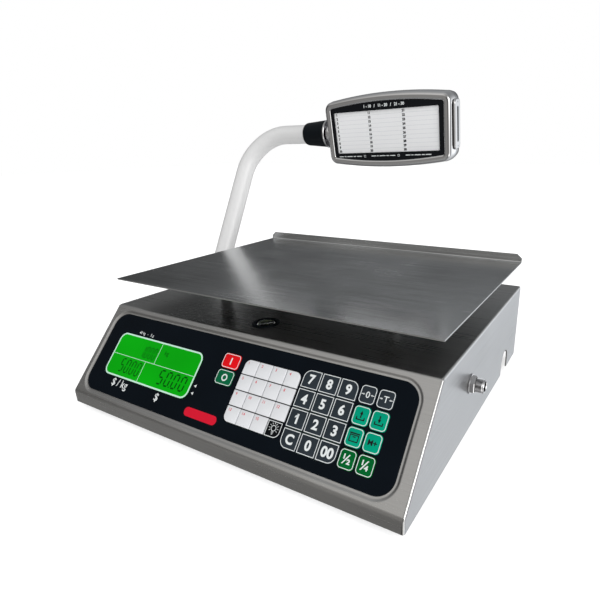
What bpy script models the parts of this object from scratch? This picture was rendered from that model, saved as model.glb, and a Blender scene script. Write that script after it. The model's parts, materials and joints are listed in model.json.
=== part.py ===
"""Retail price scale: a stainless counter scale with a keypad, a weighing tray and a display tower.

Housing frame: X to the operator's right, Y to the back, Z up, zero at the housing's front
left bottom corner.  Everything hangs under one empty that moves this frame so that the
finished object stands on Z = 0, centred on its bounding box.  Lengths are in metres.
"""
import math

import bmesh
import bpy
from mathutils import Matrix, Vector

MM = 0.001
GAP = 0.3 * MM                     # running gap between neighbouring pieces

# Housing: folded sheet with a low front lip, a sloping keypad face and a flat deck
HOUSING_W = 380 * MM
HOUSING_D = 336 * MM
DECK_Z = 88 * MM
LIP_Z = 13 * MM
SLOPE_RUN = 67.5 * MM
SHEET = 1.5 * MM
BEND = 2 * MM
CUT_REACH = 4 * SHEET              # how far a hole's cutter reaches to each side of the sheet

# Keypad face, measured from the slope's lower left corner: x right, y up the slope, z out
SLOPE_ANGLE = math.atan2(DECK_Z - LIP_Z, SLOPE_RUN)
PANEL = (188 * MM, 50.2 * MM, 356 * MM, 85 * MM)     # centre x, centre y, width, height
PANEL_CORNER = 15 * MM
PANEL_RECESS = 0.4 * MM
DISPLAY = (90 * MM, 49.9 * MM, 122 * MM, 45.6 * MM)
DISPLAY_CORNER = 8 * MM
KEY_TOP = -0.1 * MM
KEY_BOTTOM = -4 * MM
KEY_CORNER = 3 * MM
KEY_EDGE = 0.3 * MM
SHARP_CORNER = 0.5 * MM            # keys inside a block, where four corners meet
KEY_HOLE = (-6 * MM, 3 * MM)       # reach of the cutters for keys and window
POWER_KEY = (20 * MM, 14 * MM)
POWER_KEY_X = 184.6 * MM
POWER_KEY_Y = {"key_on": 72.4 * MM, "key_off": 56.8 * MM}
NUMBER_PITCH = (17.8 * MM, 16.7 * MM)
NUMBER_CENTRE = (290.2 * MM, 50.2 * MM)
NUMBER_CORNER = 7 * MM
NUMBER_ROWS = (("7", "8", "9"), ("4", "5", "6"), ("1", "2", "3"), ("clear", "0", "00"))
FUNCTION_KEY = (14.2 * MM, 15 * MM)
FUNCTION_PITCH = (15.6 * MM, 16.7 * MM)
FUNCTION_CENTRE = (333.2 * MM, 50.2 * MM)
FUNCTION_ROWS = (("zero", "tare"), ("recall", "store"), ("pack", "add"), ("half", "quarter"))
MEMORY = (231.2 * MM, 50 * MM, 62 * MM, 58 * MM)
MEMORY_GRID = 4
MEMORY_CORNER = 6 * MM
MEMORY_LINE = 1.1 * MM
MEMORY_MAT_TOP = -1.6 * MM
BACKPLATE = (362 * MM, 90 * MM, 1.5 * MM, 6 * MM)    # width, height, thickness, corner
DISPLAY_MODULE = (132 * MM, 56 * MM, 7 * MM)
DISPLAY_VIEW_INSET = 3 * MM
KEYPAD_BOARD = (263 * MM, 50.2 * MM, 180 * MM, 72 * MM)
KEYPAD_BOARD_TOP = -5 * MM
BOARD_THICK = 1.6 * MM
BOARD_CORNER = 2 * MM

# Weighing platform: load cell, spider with four posts, loose tray
TRAY_W = 376 * MM
TRAY_Y = (70 * MM, 335 * MM)
TRAY_TOP = 117.3 * MM
TRAY_SHEET = 1.5 * MM
TRAY_RIM = 9.5 * MM
TRAY_RIM_CORNER = 6 * MM
POST_X = 110 * MM
POST_Y = 52 * MM
POST_R = 6 * MM
PAD_R = 8 * MM
PAD_CAP = 2.2 * MM                 # rubber above the post's end
PAD_SKIRT = 6 * MM
DECK_HOLE_R = 10.5 * MM
PLATFORM_Y = 0.5 * (TRAY_Y[0] + TRAY_Y[1])
CELL = (130 * MM, 30 * MM, 22 * MM)
CELL_Z = 30 * MM
CELL_END = 30 * MM                 # length of the cell's clamped ends
CELL_WINDOW = (15 * MM, 8.5 * MM)  # half the distance between its round ends, and their radius
SPIDER_Z = 60.5 * MM
SPIDER_ARM = 24 * MM
SPIDER_THICK = 4 * MM
JOIN = 1 * MM                      # how far pieces of one casting run into each other
PLATFORM_FLEX = 0.5 * MM           # how far the load cell lets the platform sink at full load

# Tower: tube bent like a C, swinging about its lower end in the left wall
TUBE_R = 12.8 * MM
TUBE_WALL = 1.5 * MM
TOWER_X = -44 * MM
TOWER_AXIS = (242.2 * MM, 45 * MM)
TOWER_LEAN = math.radians(28.8)
TOWER_REACH = 253.2 * MM
TUBE_BEND_TOP = 62 * MM
TUBE_BEND_FOOT = 38 * MM
TUBE_FOOT_X = 30 * MM
TUBE_INTO_COLLAR = 6 * MM          # how far the tube's end stays short of the collar's wide end
COLLAR_X = (57.5 * MM, 93.5 * MM)
COLLAR_R = (14.2 * MM, 15.5 * MM, 17.8 * MM)         # narrow end, end of its taper, wide end
COLLAR_TAPER = 7 * MM
FLANGE = (20 * MM, 18 * MM, 4 * MM)                  # radius at the wall, outer radius, depth
BEARING = (26 * MM, 38 * MM)
BEARING_RISE = 19 * MM             # top of the bearing above the tower's axis

# Display head on the tower's upper end
HEAD_X = 190.2 * MM
HEAD_TILT = math.radians(8.2)
HEAD_ROLL = math.radians(1.05)
HEAD_RISE = 2.4 * MM
HEAD_W = 178 * MM
HEAD_H = 81.2 * MM
HEAD_BOW = 5 * MM
HEAD_CORNER = 12 * MM
HEAD_HALF_DEPTH = 18 * MM
HEAD_WALL = 2.5 * MM
HEAD_PLATE = 1.5 * MM              # thickness of the fascia and of the customer's window
HEAD_PLATE_INSET = 6 * MM
SWIVEL_R = (18.9 * MM, 12 * MM)    # ring and neck
SWIVEL_RING = (2.5 * MM, 1 * MM)   # thickness and chamfer of the ring
CUSTOMER_DISPLAY = (130 * MM, 8 * MM, 44 * MM)
FASCIA_INSET = 9.5 * MM
CARD = (148.3 * MM, 51.5 * MM)
CARD_SHIFT = -0.65 * MM
CARD_MARGIN = (6 * MM, 5 * MM)     # how much wider and higher the card is than its window
CARD_THICK = 0.8 * MM
END_CAP = (19 * MM, 58 * MM, 2.2 * MM)
END_CAP_RISE = 2 * MM
END_CAP_CORNER = 6 * MM
END_CAP_EDGE = 0.8 * MM
END_SLOT = (5 * MM, 41 * MM, 1.2 * MM)

# Feet, level and charger socket
FOOT_REACH = 8 * MM
FOOT_R = 14 * MM
FOOT_INSET = 42 * MM
STUD_R = 4 * MM
STUD_TOP = 26 * MM
FOOT_PAD = 6.5 * MM
LEVEL_XY = (187 * MM, 96.5 * MM)
LEVEL_R = 13.5 * MM
LEVEL_LEDGE = 2 * MM
LEVEL_WALL = 1.5 * MM
LEVEL_DEPTH = 11 * MM
SOCKET_YZ = (140 * MM, 49.5 * MM)
SOCKET_REACH = 13 * MM
SOCKET_DEPTH = 9 * MM
SOCKET_R = (6 * MM, 10 * MM, 8 * MM, 5 * MM)         # neck, washer, barrel, bore
NOTCH_Y = 278 * MM
NOTCH_W = 27.5 * MM
NOTCH_H = 26 * MM

# Bottom plate and what stands on it
BASE_LOW = 0.5 * MM
BASE_HIGH = 2.5 * MM
BASE_CUT = (26 * MM, 262 * MM)     # corner cut back: width, and the y it starts from
FOOT_BOSS = (8 * MM, 9 * MM)       # radius and top
STANDOFF_R = 3 * MM
BOARD = (130 * MM, 76 * MM)
BOARD_CENTRE = (100 * MM, 126 * MM)
BOARD_Z = 10 * MM
BATTERY = (70 * MM, 100 * MM, 47 * MM)
BATTERY_CENTRE = (305 * MM, 140 * MM)
BATTERY_EDGE = 2 * MM

# Place of the housing frame in the finished object
HEAD_BACK = (TOWER_AXIS[0] + TOWER_REACH * math.sin(TOWER_LEAN)
             + HEAD_HALF_DEPTH * math.cos(HEAD_TILT) - HEAD_RISE * math.sin(HEAD_TILT)
             + 0.5 * HEAD_H * math.sin(HEAD_TILT))
ORIGIN_X = 0.5 * (TOWER_X - TUBE_R + HOUSING_W + SOCKET_REACH)
ORIGIN_Y = 0.5 * HEAD_BACK


def material(name, colour, roughness, metallic=0.0):
    mat = bpy.data.materials.new(name)
    mat.use_nodes = True
    shader = mat.node_tree.nodes["Principled BSDF"]
    shader.inputs["Base Color"].default_value = (*colour, 1.0)
    shader.inputs["Roughness"].default_value = roughness
    shader.inputs["Metallic"].default_value = metallic
    return mat


def empty(name, parent=None, location=(0, 0, 0), rotation=(0, 0, 0)):
    guide = bpy.data.objects.new(name, None)
    bpy.context.collection.objects.link(guide)
    guide.parent = parent
    guide.location = location
    guide.rotation_euler = rotation
    return guide


def place(name, mesh, parent, location, mat=None, smooth=False):
    """Put a mesh in the scene as one named piece; without a material it is a cutter."""
    obj = bpy.data.objects.new(name, mesh)
    bpy.context.collection.objects.link(obj)
    obj.parent = parent
    obj.location = location
    if mat is None:
        obj.hide_render = True
        obj.display_type = "WIRE"
    else:
        mesh.materials.append(mat)
    if smooth:
        mesh.shade_smooth()
        mesh.set_sharp_from_angle(angle=math.radians(35))
    return obj


def loft_mesh(loops, ring=False):
    """Skin a stack of equal loops; a ring joins the last loop to the first, else ends are capped."""
    bm = bmesh.new()
    rows = [[bm.verts.new(p) for p in loop] for loop in loops]
    pairs = list(zip(rows, rows[1:]))
    if ring:
        pairs.append((rows[-1], rows[0]))
    for low, high in pairs:
        for i in range(len(low)):
            j = (i + 1) % len(low)
            bm.faces.new((low[i], low[j], high[j], high[i]))
    if not ring:
        bm.faces.new(rows[0])
        bm.faces.new(rows[-1])
    bmesh.ops.recalc_face_normals(bm, faces=bm.faces)
    mesh = bpy.data.meshes.new("loft")
    bm.to_mesh(mesh)
    bm.free()
    return mesh


def rounded_rectangle(width, height, corners, steps=4):
    """Points around a rectangle; corners are radii: right top, left top, left bottom, right bottom."""
    points = []
    signs = ((1, 1), (-1, 1), (-1, -1), (1, -1))
    for quarter, ((sx, sy), radius) in enumerate(zip(signs, corners)):
        cx = sx * (0.5 * width - radius)
        cy = sy * (0.5 * height - radius)
        for k in range(steps + 1):
            angle = 0.5 * math.pi * (quarter + k / steps)
            points.append((cx + radius * math.cos(angle), cy + radius * math.sin(angle)))
    return points


def plate_mesh(width, height, low, high, corners, edge=0.0, steps=4):
    """Flat plate from z = low to high with rounded corners and a small chamfer on top."""
    if not isinstance(corners, tuple):
        corners = (corners,) * 4
    outline = rounded_rectangle(width, height, corners, steps)
    loops = [[(x, y, low) for x, y in outline]]
    if edge:
        loops.append([(x, y, high - edge) for x, y in outline])
        sx = 1 - 2 * edge / width
        sy = 1 - 2 * edge / height
        loops.append([(x * sx, y * sy, high) for x, y in outline])
    else:
        loops.append([(x, y, high) for x, y in outline])
    return loft_mesh(loops)


def box_mesh(size, centre=(0, 0, 0)):
    bm = bmesh.new()
    bmesh.ops.create_cube(bm, size=1.0)
    bmesh.ops.scale(bm, vec=Vector(size), verts=bm.verts)
    bmesh.ops.translate(bm, vec=Vector(centre), verts=bm.verts)
    mesh = bpy.data.meshes.new("box")
    bm.to_mesh(mesh)
    bm.free()
    return mesh


def lathe_mesh(profile, axis="Z", segments=32):
    """Turn (radius, height) points about an axis; ends at radius 0 are closed, else it is a ring."""
    turn = {"Z": Matrix.Identity(3), "X": Matrix.Rotation(math.pi / 2, 3, "Y")}[axis]
    loops = []
    for radius, height in profile:
        if radius > 0:
            angles = [2 * math.pi * k / segments for k in range(segments)]
            loops.append([turn @ Vector((radius * math.cos(a), radius * math.sin(a), height))
                          for a in angles])
    return loft_mesh(loops, ring=profile[0][0] > 0)


def extrude_x_mesh(outline, x0, x1):
    """Prism along X over a (y, z) outline."""
    return loft_mesh([[(x0, y, z) for y, z in outline], [(x1, y, z) for y, z in outline]])


def boolean(target, tool, operation="DIFFERENCE"):
    modifier = target.modifiers.new(tool.name, "BOOLEAN")
    modifier.operation = operation
    modifier.solver = "EXACT"
    modifier.object = tool


def round_edges(obj, width, segments=2):
    modifier = obj.modifiers.new("bends", "BEVEL")
    modifier.width = width
    modifier.segments = segments
    modifier.limit_method = "ANGLE"
    modifier.angle_limit = math.radians(30)


def disc_cutter(name, parent, location, radius, reach, axis="Z", segments=32):
    """Cylinder about its location, reaching the same way to both sides."""
    mesh = lathe_mesh([(0, 0), (radius, -reach), (radius, reach), (0, 0)], axis, segments)
    return place(name, mesh, parent, location)


def tower_hole_centre():
    return (0, TOWER_AXIS[0], TOWER_AXIS[1])


def post_places():
    """Name ending and centre (x, y) of the four posts that carry the tray."""
    for row, sy in (("front", -1), ("rear", 1)):
        for side, sx in (("left", -1), ("right", 1)):
            yield f"{row}_{side}", 0.5 * HOUSING_W + sx * POST_X, PLATFORM_Y + sy * POST_Y


def foot_places():
    for row, y in (("front", FOOT_INSET), ("rear", HOUSING_D - FOOT_INSET)):
        for side, x in (("left", FOOT_INSET), ("right", HOUSING_W - FOOT_INSET)):
            yield f"{row}_{side}", x, y


def board_standoffs():
    inset = 6 * MM
    for sx in (-1, 1):
        for sy in (-1, 1):
            yield (BOARD_CENTRE[0] + sx * (0.5 * BOARD[0] - inset),
                   BOARD_CENTRE[1] + sy * (0.5 * BOARD[1] - inset))


def housing_outline(inset, floor):
    """(y, z) section of the housing, moved inwards by the inset and open down to the floor."""
    half = 0.5 * (math.pi / 2 - SLOPE_ANGLE)
    lip = LIP_Z - inset * math.tan(half)
    deck_y = SLOPE_RUN + inset * math.tan(0.5 * SLOPE_ANGLE)
    return [(inset, floor), (inset, lip), (deck_y, DECK_Z - inset),
            (HOUSING_D - inset, DECK_Z - inset), (HOUSING_D - inset, floor)]


def notch_cutter(name, root, x):
    """Arched cable notch through a side wall, open at the bottom edge."""
    radius = 0.5 * NOTCH_W
    below = -CUT_REACH
    outline = [(NOTCH_Y + radius, below)]
    for k in range(9):
        angle = math.pi * k / 8
        outline.append((NOTCH_Y + radius * math.cos(angle),
                        NOTCH_H - radius + radius * math.sin(angle)))
    outline.append((NOTCH_Y - radius, below))
    return place(name, extrude_x_mesh(outline, x + below, x + CUT_REACH), root, (0, 0, 0))


def make_housing(root, panel, steel):
    cover = place("housing_cover", extrude_x_mesh(housing_outline(0, 0), 0, HOUSING_W),
                  root, (0, 0, 0), steel)
    round_edges(cover, BEND)
    cavity = extrude_x_mesh(housing_outline(SHEET, -CUT_REACH), SHEET, HOUSING_W - SHEET)
    boolean(cover, place("cut_cavity", cavity, root, (0, 0, 0)))
    opening = plate_mesh(PANEL[2] + 2 * GAP, PANEL[3] + 2 * GAP, -CUT_REACH, CUT_REACH,
                         PANEL_CORNER + GAP, steps=6)
    boolean(cover, place("cut_panel", opening, panel, (PANEL[0], PANEL[1], 0)))
    rounds = [(f"cut_post_{ending}", (x, y, DECK_Z), DECK_HOLE_R, "Z") for ending, x, y in post_places()]
    rounds.append(("cut_level", (*LEVEL_XY, DECK_Z), LEVEL_R - LEVEL_LEDGE, "Z"))
    rounds.append(("cut_socket", (HOUSING_W, *SOCKET_YZ), SOCKET_R[0] + GAP, "X"))
    rounds.append(("cut_tower", tower_hole_centre(), TUBE_R + GAP, "X"))
    for name, centre, radius, axis in rounds:
        boolean(cover, disc_cutter(name, root, centre, radius, CUT_REACH, axis))
    boolean(cover, notch_cutter("cut_notch_right", root, HOUSING_W))
    boolean(cover, notch_cutter("cut_notch_left", root, 0))


def make_base(root, steel):
    """Bottom plate with its rear corners cut back at the cable notches, and raised bosses."""
    margin = SHEET + GAP
    corner_x, corner_y = BASE_CUT
    left, right = margin, HOUSING_W - margin
    front, back = margin, HOUSING_D - margin
    outline = [(left, front), (right, front), (right, corner_y), (right - corner_x, corner_y),
               (right - corner_x, back), (left + corner_x, back), (left + corner_x, corner_y),
               (left, corner_y)]
    mesh = loft_mesh([[(x, y, z) for x, y in outline] for z in (BASE_LOW, BASE_HIGH)])
    base = place("base_plate", mesh, root, (0, 0, 0), steel)
    for ending, x, y in foot_places():
        boss_r, boss_top = FOOT_BOSS
        boss = lathe_mesh([(0, 0), (boss_r, BASE_HIGH - JOIN), (boss_r, boss_top), (0, 0)],
                          segments=16)
        boolean(base, place(f"boss_{ending}", boss, root, (x, y, 0)), "UNION")
        boolean(base, disc_cutter(f"cut_stud_{ending}", root, (x, y, 0), STUD_R + GAP, STUD_TOP,
                                  segments=16))
    for k, (x, y) in enumerate(board_standoffs()):
        post = lathe_mesh([(0, 0), (STANDOFF_R, BASE_HIGH - JOIN), (STANDOFF_R, BOARD_Z - GAP),
                           (0, 0)], segments=12)
        boolean(base, place(f"standoff_{k}", post, root, (x, y, 0)), "UNION")


def make_inside(root, mats):
    """Main board and rechargeable battery on the bottom plate."""
    board = plate_mesh(*BOARD, 0, BOARD_THICK, BOARD_CORNER)
    place("main_board", board, root, (*BOARD_CENTRE, BOARD_Z), mats["board"])
    battery = place("battery", box_mesh(BATTERY), root,
                    (*BATTERY_CENTRE, BASE_HIGH + GAP + 0.5 * BATTERY[2]), mats["battery"])
    round_edges(battery, BATTERY_EDGE, 1)


def make_load_cell(root, metal):
    """Load cell with its dog-bone window, on a block under its fixed left end."""
    middle = (0.5 * HOUSING_W, PLATFORM_Y, CELL_Z + 0.5 * CELL[2])
    low, high = BASE_HIGH + GAP, CELL_Z - GAP
    place("load_cell_foot_block", box_mesh((CELL_END, CELL[1], high - low)), root,
          (middle[0] - 0.5 * (CELL[0] - CELL_END), PLATFORM_Y, 0.5 * (low + high)), metal)
    cell = place("load_cell", box_mesh(CELL), root, middle, metal)
    reach, radius = CELL_WINDOW
    window = []
    for x, start in ((reach, -0.5), (-reach, 0.5)):
        for k in range(9):
            angle = math.pi * (start + k / 8)
            window.append((x + radius * math.cos(angle), radius * math.sin(angle)))
    loops = [[(x, y, z) for x, z in window] for y in (-CELL[1], CELL[1])]
    boolean(cell, place("cut_cell", loft_mesh(loops), root, middle))


def make_spider(root, mats, pad_top):
    """Casting with four posts that stands on the load cell's free end, and the posts' pads."""
    middle = 0.5 * HOUSING_W
    mid_z = SPIDER_Z + 0.5 * SPIDER_THICK
    spider = place("spider", box_mesh((2 * POST_X + SPIDER_ARM, SPIDER_ARM, SPIDER_THICK)), root,
                   (middle, PLATFORM_Y, mid_z), mats["casting"])
    for side, sx in (("left", -1), ("right", 1)):
        bar = box_mesh((SPIDER_ARM, 2 * POST_Y + SPIDER_ARM, SPIDER_THICK))
        boolean(spider, place(f"bar_{side}", bar, root,
                              (middle + sx * POST_X, PLATFORM_Y, mid_z)), "UNION")
    low, high = CELL_Z + CELL[2] + GAP + PLATFORM_FLEX, SPIDER_Z + JOIN
    boss = box_mesh((CELL_END, CELL[1] - 4 * MM, high - low))
    boolean(spider, place("cell_boss", boss, root, (middle + 0.5 * (CELL[0] - CELL_END), PLATFORM_Y,
                                                    0.5 * (low + high))), "UNION")
    post_top = pad_top - PAD_CAP
    inner = POST_R + GAP
    chamfer = 1 * MM
    for ending, x, y in post_places():
        post = lathe_mesh([(0, 0), (POST_R, SPIDER_Z + JOIN), (POST_R, post_top), (0, 0)],
                          segments=20)
        boolean(spider, place(f"post_{ending}", post, root, (x, y, 0)), "UNION")
        pad = lathe_mesh([(0, 0), (inner, post_top + GAP), (inner, post_top - PAD_SKIRT),
                          (PAD_R, post_top - PAD_SKIRT), (PAD_R, pad_top - chamfer),
                          (PAD_R - chamfer, pad_top), (0, 0)], segments=20)
        place(f"tray_pad_{ending}", pad, root, (x, y, 0), mats["rubber"], smooth=True)


def make_tray(root, steel):
    """Loose sheet with its rear edge bent up into a rim, the rim's upper corners cut off."""
    front, back = TRAY_Y
    bottom = TRAY_TOP - TRAY_SHEET
    rim_top = TRAY_TOP + TRAY_RIM
    section = [(front, bottom), (back, bottom), (back, rim_top), (back - TRAY_SHEET, rim_top),
               (back - TRAY_SHEET, TRAY_TOP), (front, TRAY_TOP)]
    left = 0.5 * (HOUSING_W - TRAY_W)
    tray = place("tray", extrude_x_mesh(section, left, left + TRAY_W), root, (0, 0, 0), steel)
    spare = 0.5 * MM
    for side, x, sx in (("left", left, 1), ("right", left + TRAY_W, -1)):
        triangle = [(0, 0), (0, TRAY_RIM_CORNER), (sx * TRAY_RIM_CORNER, TRAY_RIM_CORNER)]
        loops = [[(px, y, pz) for px, pz in triangle] for y in (-CUT_REACH, CUT_REACH)]
        boolean(tray, place(f"cut_rim_{side}", loft_mesh(loops), root,
                            (x - sx * spare, back, rim_top + spare - TRAY_RIM_CORNER)))


def make_feet(root, mats):
    for ending, x, y in foot_places():
        edge = 1 * MM
        profile = [(0, 0), (FOOT_R - edge, 0), (FOOT_R, edge), (FOOT_R - edge, FOOT_PAD),
                   (STUD_R, FOOT_PAD + 0.5 * edge), (STUD_R, STUD_TOP), (0, 0)]
        place(f"foot_{ending}", lathe_mesh(profile, segments=24), root, (x, y, -FOOT_REACH),
              mats["rubber"], smooth=True)


def key_cells():
    """Name, centre x, y, width, height, corner radii and material of every separate key."""
    for name, y in POWER_KEY_Y.items():
        yield name, POWER_KEY_X, y, *POWER_KEY, (KEY_CORNER,) * 4, name
    for row, names in enumerate(NUMBER_ROWS):
        y = NUMBER_CENTRE[1] + (1.5 - row) * NUMBER_PITCH[1]
        for column, name in enumerate(names):
            x = NUMBER_CENTRE[0] + (column - 1) * NUMBER_PITCH[0]
            corners = [SHARP_CORNER] * 4
            if row in (0, 3) and column in (0, 2):
                corners[block_corner(row == 0, column == 2)] = NUMBER_CORNER
            yield (f"key_{name}", x, y, NUMBER_PITCH[0] - 2 * GAP, NUMBER_PITCH[1] - 2 * GAP,
                   tuple(corners), "key_number")
    for row, names in enumerate(FUNCTION_ROWS):
        y = FUNCTION_CENTRE[1] + (1.5 - row) * FUNCTION_PITCH[1]
        for column, name in enumerate(names):
            x = FUNCTION_CENTRE[0] + (column - 0.5) * FUNCTION_PITCH[0]
            colour = ("key_number", "key_memory", "key_memory", "key_fraction")[row]
            yield f"key_{name}", x, y, *FUNCTION_KEY, (KEY_CORNER,) * 4, colour
    width, height = MEMORY[2] / MEMORY_GRID, MEMORY[3] / MEMORY_GRID
    x = MEMORY[0] + 0.5 * (MEMORY[2] - width)
    y = MEMORY[1] - 0.5 * (MEMORY[3] - height)
    corners = [SHARP_CORNER] * 4
    corners[block_corner(False, True)] = MEMORY_CORNER
    yield ("key_light", x, y, width - 2 * GAP, height - 2 * GAP, tuple(corners), "key_light")


def block_corner(top, right):
    """Index of a block's corner in rounded_rectangle's order."""
    return {(True, True): 0, (True, False): 1, (False, False): 2, (False, True): 3}[(top, right)]


def panel_openings():
    """Centre x, y, width, height and corner radii of the holes that the keys come through."""
    yield (*NUMBER_CENTRE, 3 * NUMBER_PITCH[0], 4 * NUMBER_PITCH[1], (NUMBER_CORNER + GAP,) * 4)
    yield (*MEMORY, (MEMORY_CORNER + GAP,) * 4)
    for name, x, y, width, height, corners, _ in key_cells():
        if name in POWER_KEY_Y or name[4:] in sum(FUNCTION_ROWS, ()):
            yield x, y, width + 2 * GAP, height + 2 * GAP, corners


def cut_key_openings(target, panel, ending):
    for k, (x, y, width, height, corners) in enumerate(panel_openings()):
        mesh = plate_mesh(width, height, *KEY_HOLE, corners)
        boolean(target, place(f"cut_{ending}_{k}", mesh, panel, (x, y, 0)))


def make_panel(panel, mats):
    """Face plate flush in the slope, plate behind it, display, keys and the switch board."""
    face = place("face_panel", plate_mesh(PANEL[2], PANEL[3], -SHEET, -PANEL_RECESS, PANEL_CORNER,
                                          steps=6), panel, (PANEL[0], PANEL[1], 0), mats["face"])
    window_hole = plate_mesh(DISPLAY[2] + 2 * GAP, DISPLAY[3] + 2 * GAP, *KEY_HOLE,
                             DISPLAY_CORNER + GAP)
    boolean(face, place("cut_window", window_hole, panel, (DISPLAY[0], DISPLAY[1], 0)))
    cut_key_openings(face, panel, "face")
    place("display_window", plate_mesh(DISPLAY[2], DISPLAY[3], -SHEET, -PANEL_RECESS,
                                       DISPLAY_CORNER),
          panel, (DISPLAY[0], DISPLAY[1], 0), mats["window"])

    back_w, back_h, back_thick, back_corner = BACKPLATE
    back_high = -SHEET - GAP
    back_low = back_high - back_thick
    back = place("panel_backplate", plate_mesh(back_w, back_h, back_low, back_high, back_corner),
                 panel, (PANEL[0], PANEL[1], 0), mats["casting"])
    view = plate_mesh(DISPLAY[2] - 2 * DISPLAY_VIEW_INSET, DISPLAY[3] - 2 * DISPLAY_VIEW_INSET,
                      *KEY_HOLE, DISPLAY_CORNER - DISPLAY_VIEW_INSET)
    boolean(back, place("cut_view", view, panel, (DISPLAY[0], DISPLAY[1], 0)))
    cut_key_openings(back, panel, "back")
    module_w, module_h, module_thick = DISPLAY_MODULE
    module_top = back_low - GAP
    module = plate_mesh(module_w, module_h, module_top - module_thick, module_top, BOARD_CORNER)
    place("display_module", module, panel, (DISPLAY[0], DISPLAY[1], 0), mats["display"])
    board_x, board_y, board_w, board_h = KEYPAD_BOARD
    board = plate_mesh(board_w, board_h, KEYPAD_BOARD_TOP - BOARD_THICK, KEYPAD_BOARD_TOP,
                       BOARD_CORNER)
    place("keypad_board", board, panel, (board_x, board_y, 0), mats["board"])

    for name, x, y, width, height, corners, colour in key_cells():
        mesh = plate_mesh(width, height, KEY_BOTTOM, KEY_TOP, corners, edge=KEY_EDGE, steps=3)
        place(name, mesh, panel, (x, y, 0), mats[colour])
    make_memory_keypad(panel, mats["key_white"])


def make_memory_keypad(panel, mat):
    """One soft mat with fifteen raised key tops; its lower right cell is left to the light key."""
    width, height = MEMORY[2] / MEMORY_GRID, MEMORY[3] / MEMORY_GRID
    slack = 2 * GAP
    mesh = plate_mesh(MEMORY[2] - slack, MEMORY[3] - slack, KEY_BOTTOM, MEMORY_MAT_TOP,
                      MEMORY_CORNER)
    keypad = place("memory_keypad", mesh, panel, (MEMORY[0], MEMORY[1], 0), mat)
    last = MEMORY_GRID - 1
    root_depth = MEMORY_MAT_TOP - JOIN
    for row in range(MEMORY_GRID):
        for column in range(MEMORY_GRID):
            x = MEMORY[0] + (column - 0.5 * last) * width
            y = MEMORY[1] + (0.5 * last - row) * height
            if row == last and column == last:
                hole = plate_mesh(width + slack, height + slack, *KEY_HOLE, GAP)
                boolean(keypad, place("cut_light", hole, panel, (x + GAP, y - GAP, 0)))
                continue
            corners = [SHARP_CORNER] * 4
            if row in (0, last) and column in (0, last):
                corners[block_corner(row == 0, column == last)] = MEMORY_CORNER - JOIN
            top = plate_mesh(width - MEMORY_LINE, height - MEMORY_LINE, root_depth, KEY_TOP,
                             tuple(corners), steps=3)
            boolean(keypad, place(f"memory_top_{row}_{column}", top, panel, (x, y, 0)), "UNION")


def make_level(root, mats):
    """Black cup with a ledge on the deck, and the glass vial in it."""
    centre = (*LEVEL_XY, DECK_Z)
    wall = LEVEL_R - LEVEL_LEDGE - GAP
    inside = wall - LEVEL_WALL
    floor = LEVEL_WALL - LEVEL_DEPTH
    rim = 1.2 * MM
    cup = [(0, 0), (wall, -LEVEL_DEPTH), (wall, GAP), (LEVEL_R, GAP), (LEVEL_R, rim - GAP),
           (inside, rim), (inside, floor), (0, 0)]
    place("level_cup", lathe_mesh(cup, segments=28), root, centre, mats["black"], True)
    glass = inside - GAP
    chamfer = 0.8 * MM
    vial = [(0, 0), (glass, floor + GAP), (glass, -0.5 * chamfer),
            (glass - chamfer, 0.5 * chamfer), (0, 0)]
    place("level_vial", lathe_mesh(vial, segments=28), root, centre, mats["vial"], True)


def make_socket(root, chrome):
    """Charger socket: neck through the wall, washer, and a barrel with a blind bore."""
    neck, washer, barrel, bore = SOCKET_R
    washer_top = 2 * MM
    edge = 1 * MM
    profile = [(0, 0), (neck, -SOCKET_DEPTH), (neck, GAP), (washer, GAP), (washer, washer_top),
               (barrel, washer_top + 0.5 * edge), (barrel, SOCKET_REACH - edge),
               (barrel - edge, SOCKET_REACH), (bore, SOCKET_REACH), (bore, edge), (0, 0)]
    place("charger_socket", lathe_mesh(profile, "X", 24), root, (HOUSING_W, *SOCKET_YZ), chrome, True)


def make_tower_mount(root, mats):
    """Flange on the left wall and the bearing behind it, both round the tube's lower end."""
    bore = TUBE_R + GAP
    wide, narrow, depth = FLANGE
    flange = [(bore, -depth), (bore, -GAP), (wide, -GAP), (wide, 1 * MM - depth), (narrow, -depth)]
    place("tower_flange", lathe_mesh(flange, "X"), root, tower_hole_centre(), mats["chrome"], True)
    low = BASE_HIGH + GAP
    size = (*BEARING, TOWER_AXIS[1] + BEARING_RISE - low)
    bearing = place("tower_bearing", box_mesh(size), root,
                    (SHEET + GAP + 0.5 * size[0], TOWER_AXIS[0], low + 0.5 * size[2]),
                    mats["casting"])
    boolean(bearing, disc_cutter("cut_bearing", root, tower_hole_centre(), bore, 2 * size[0], "X"))


def tube_route(x_foot, x_top):
    """Centre line in the tower's own plane: in at the foot, up, and in again at the top."""
    points = [(x_foot, 0)]
    for centre_x, centre_z, radius, start in (
            (TOWER_X + TUBE_BEND_FOOT, TUBE_BEND_FOOT, TUBE_BEND_FOOT, -0.5),
            (TOWER_X + TUBE_BEND_TOP, TOWER_REACH - TUBE_BEND_TOP, TUBE_BEND_TOP, -1.0)):
        for k in range(11):
            angle = math.pi * (start - 0.5 * k / 10)
            points.append((centre_x + radius * math.cos(angle), centre_z + radius * math.sin(angle)))
    points.append((x_top, TOWER_REACH))
    return points


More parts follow.
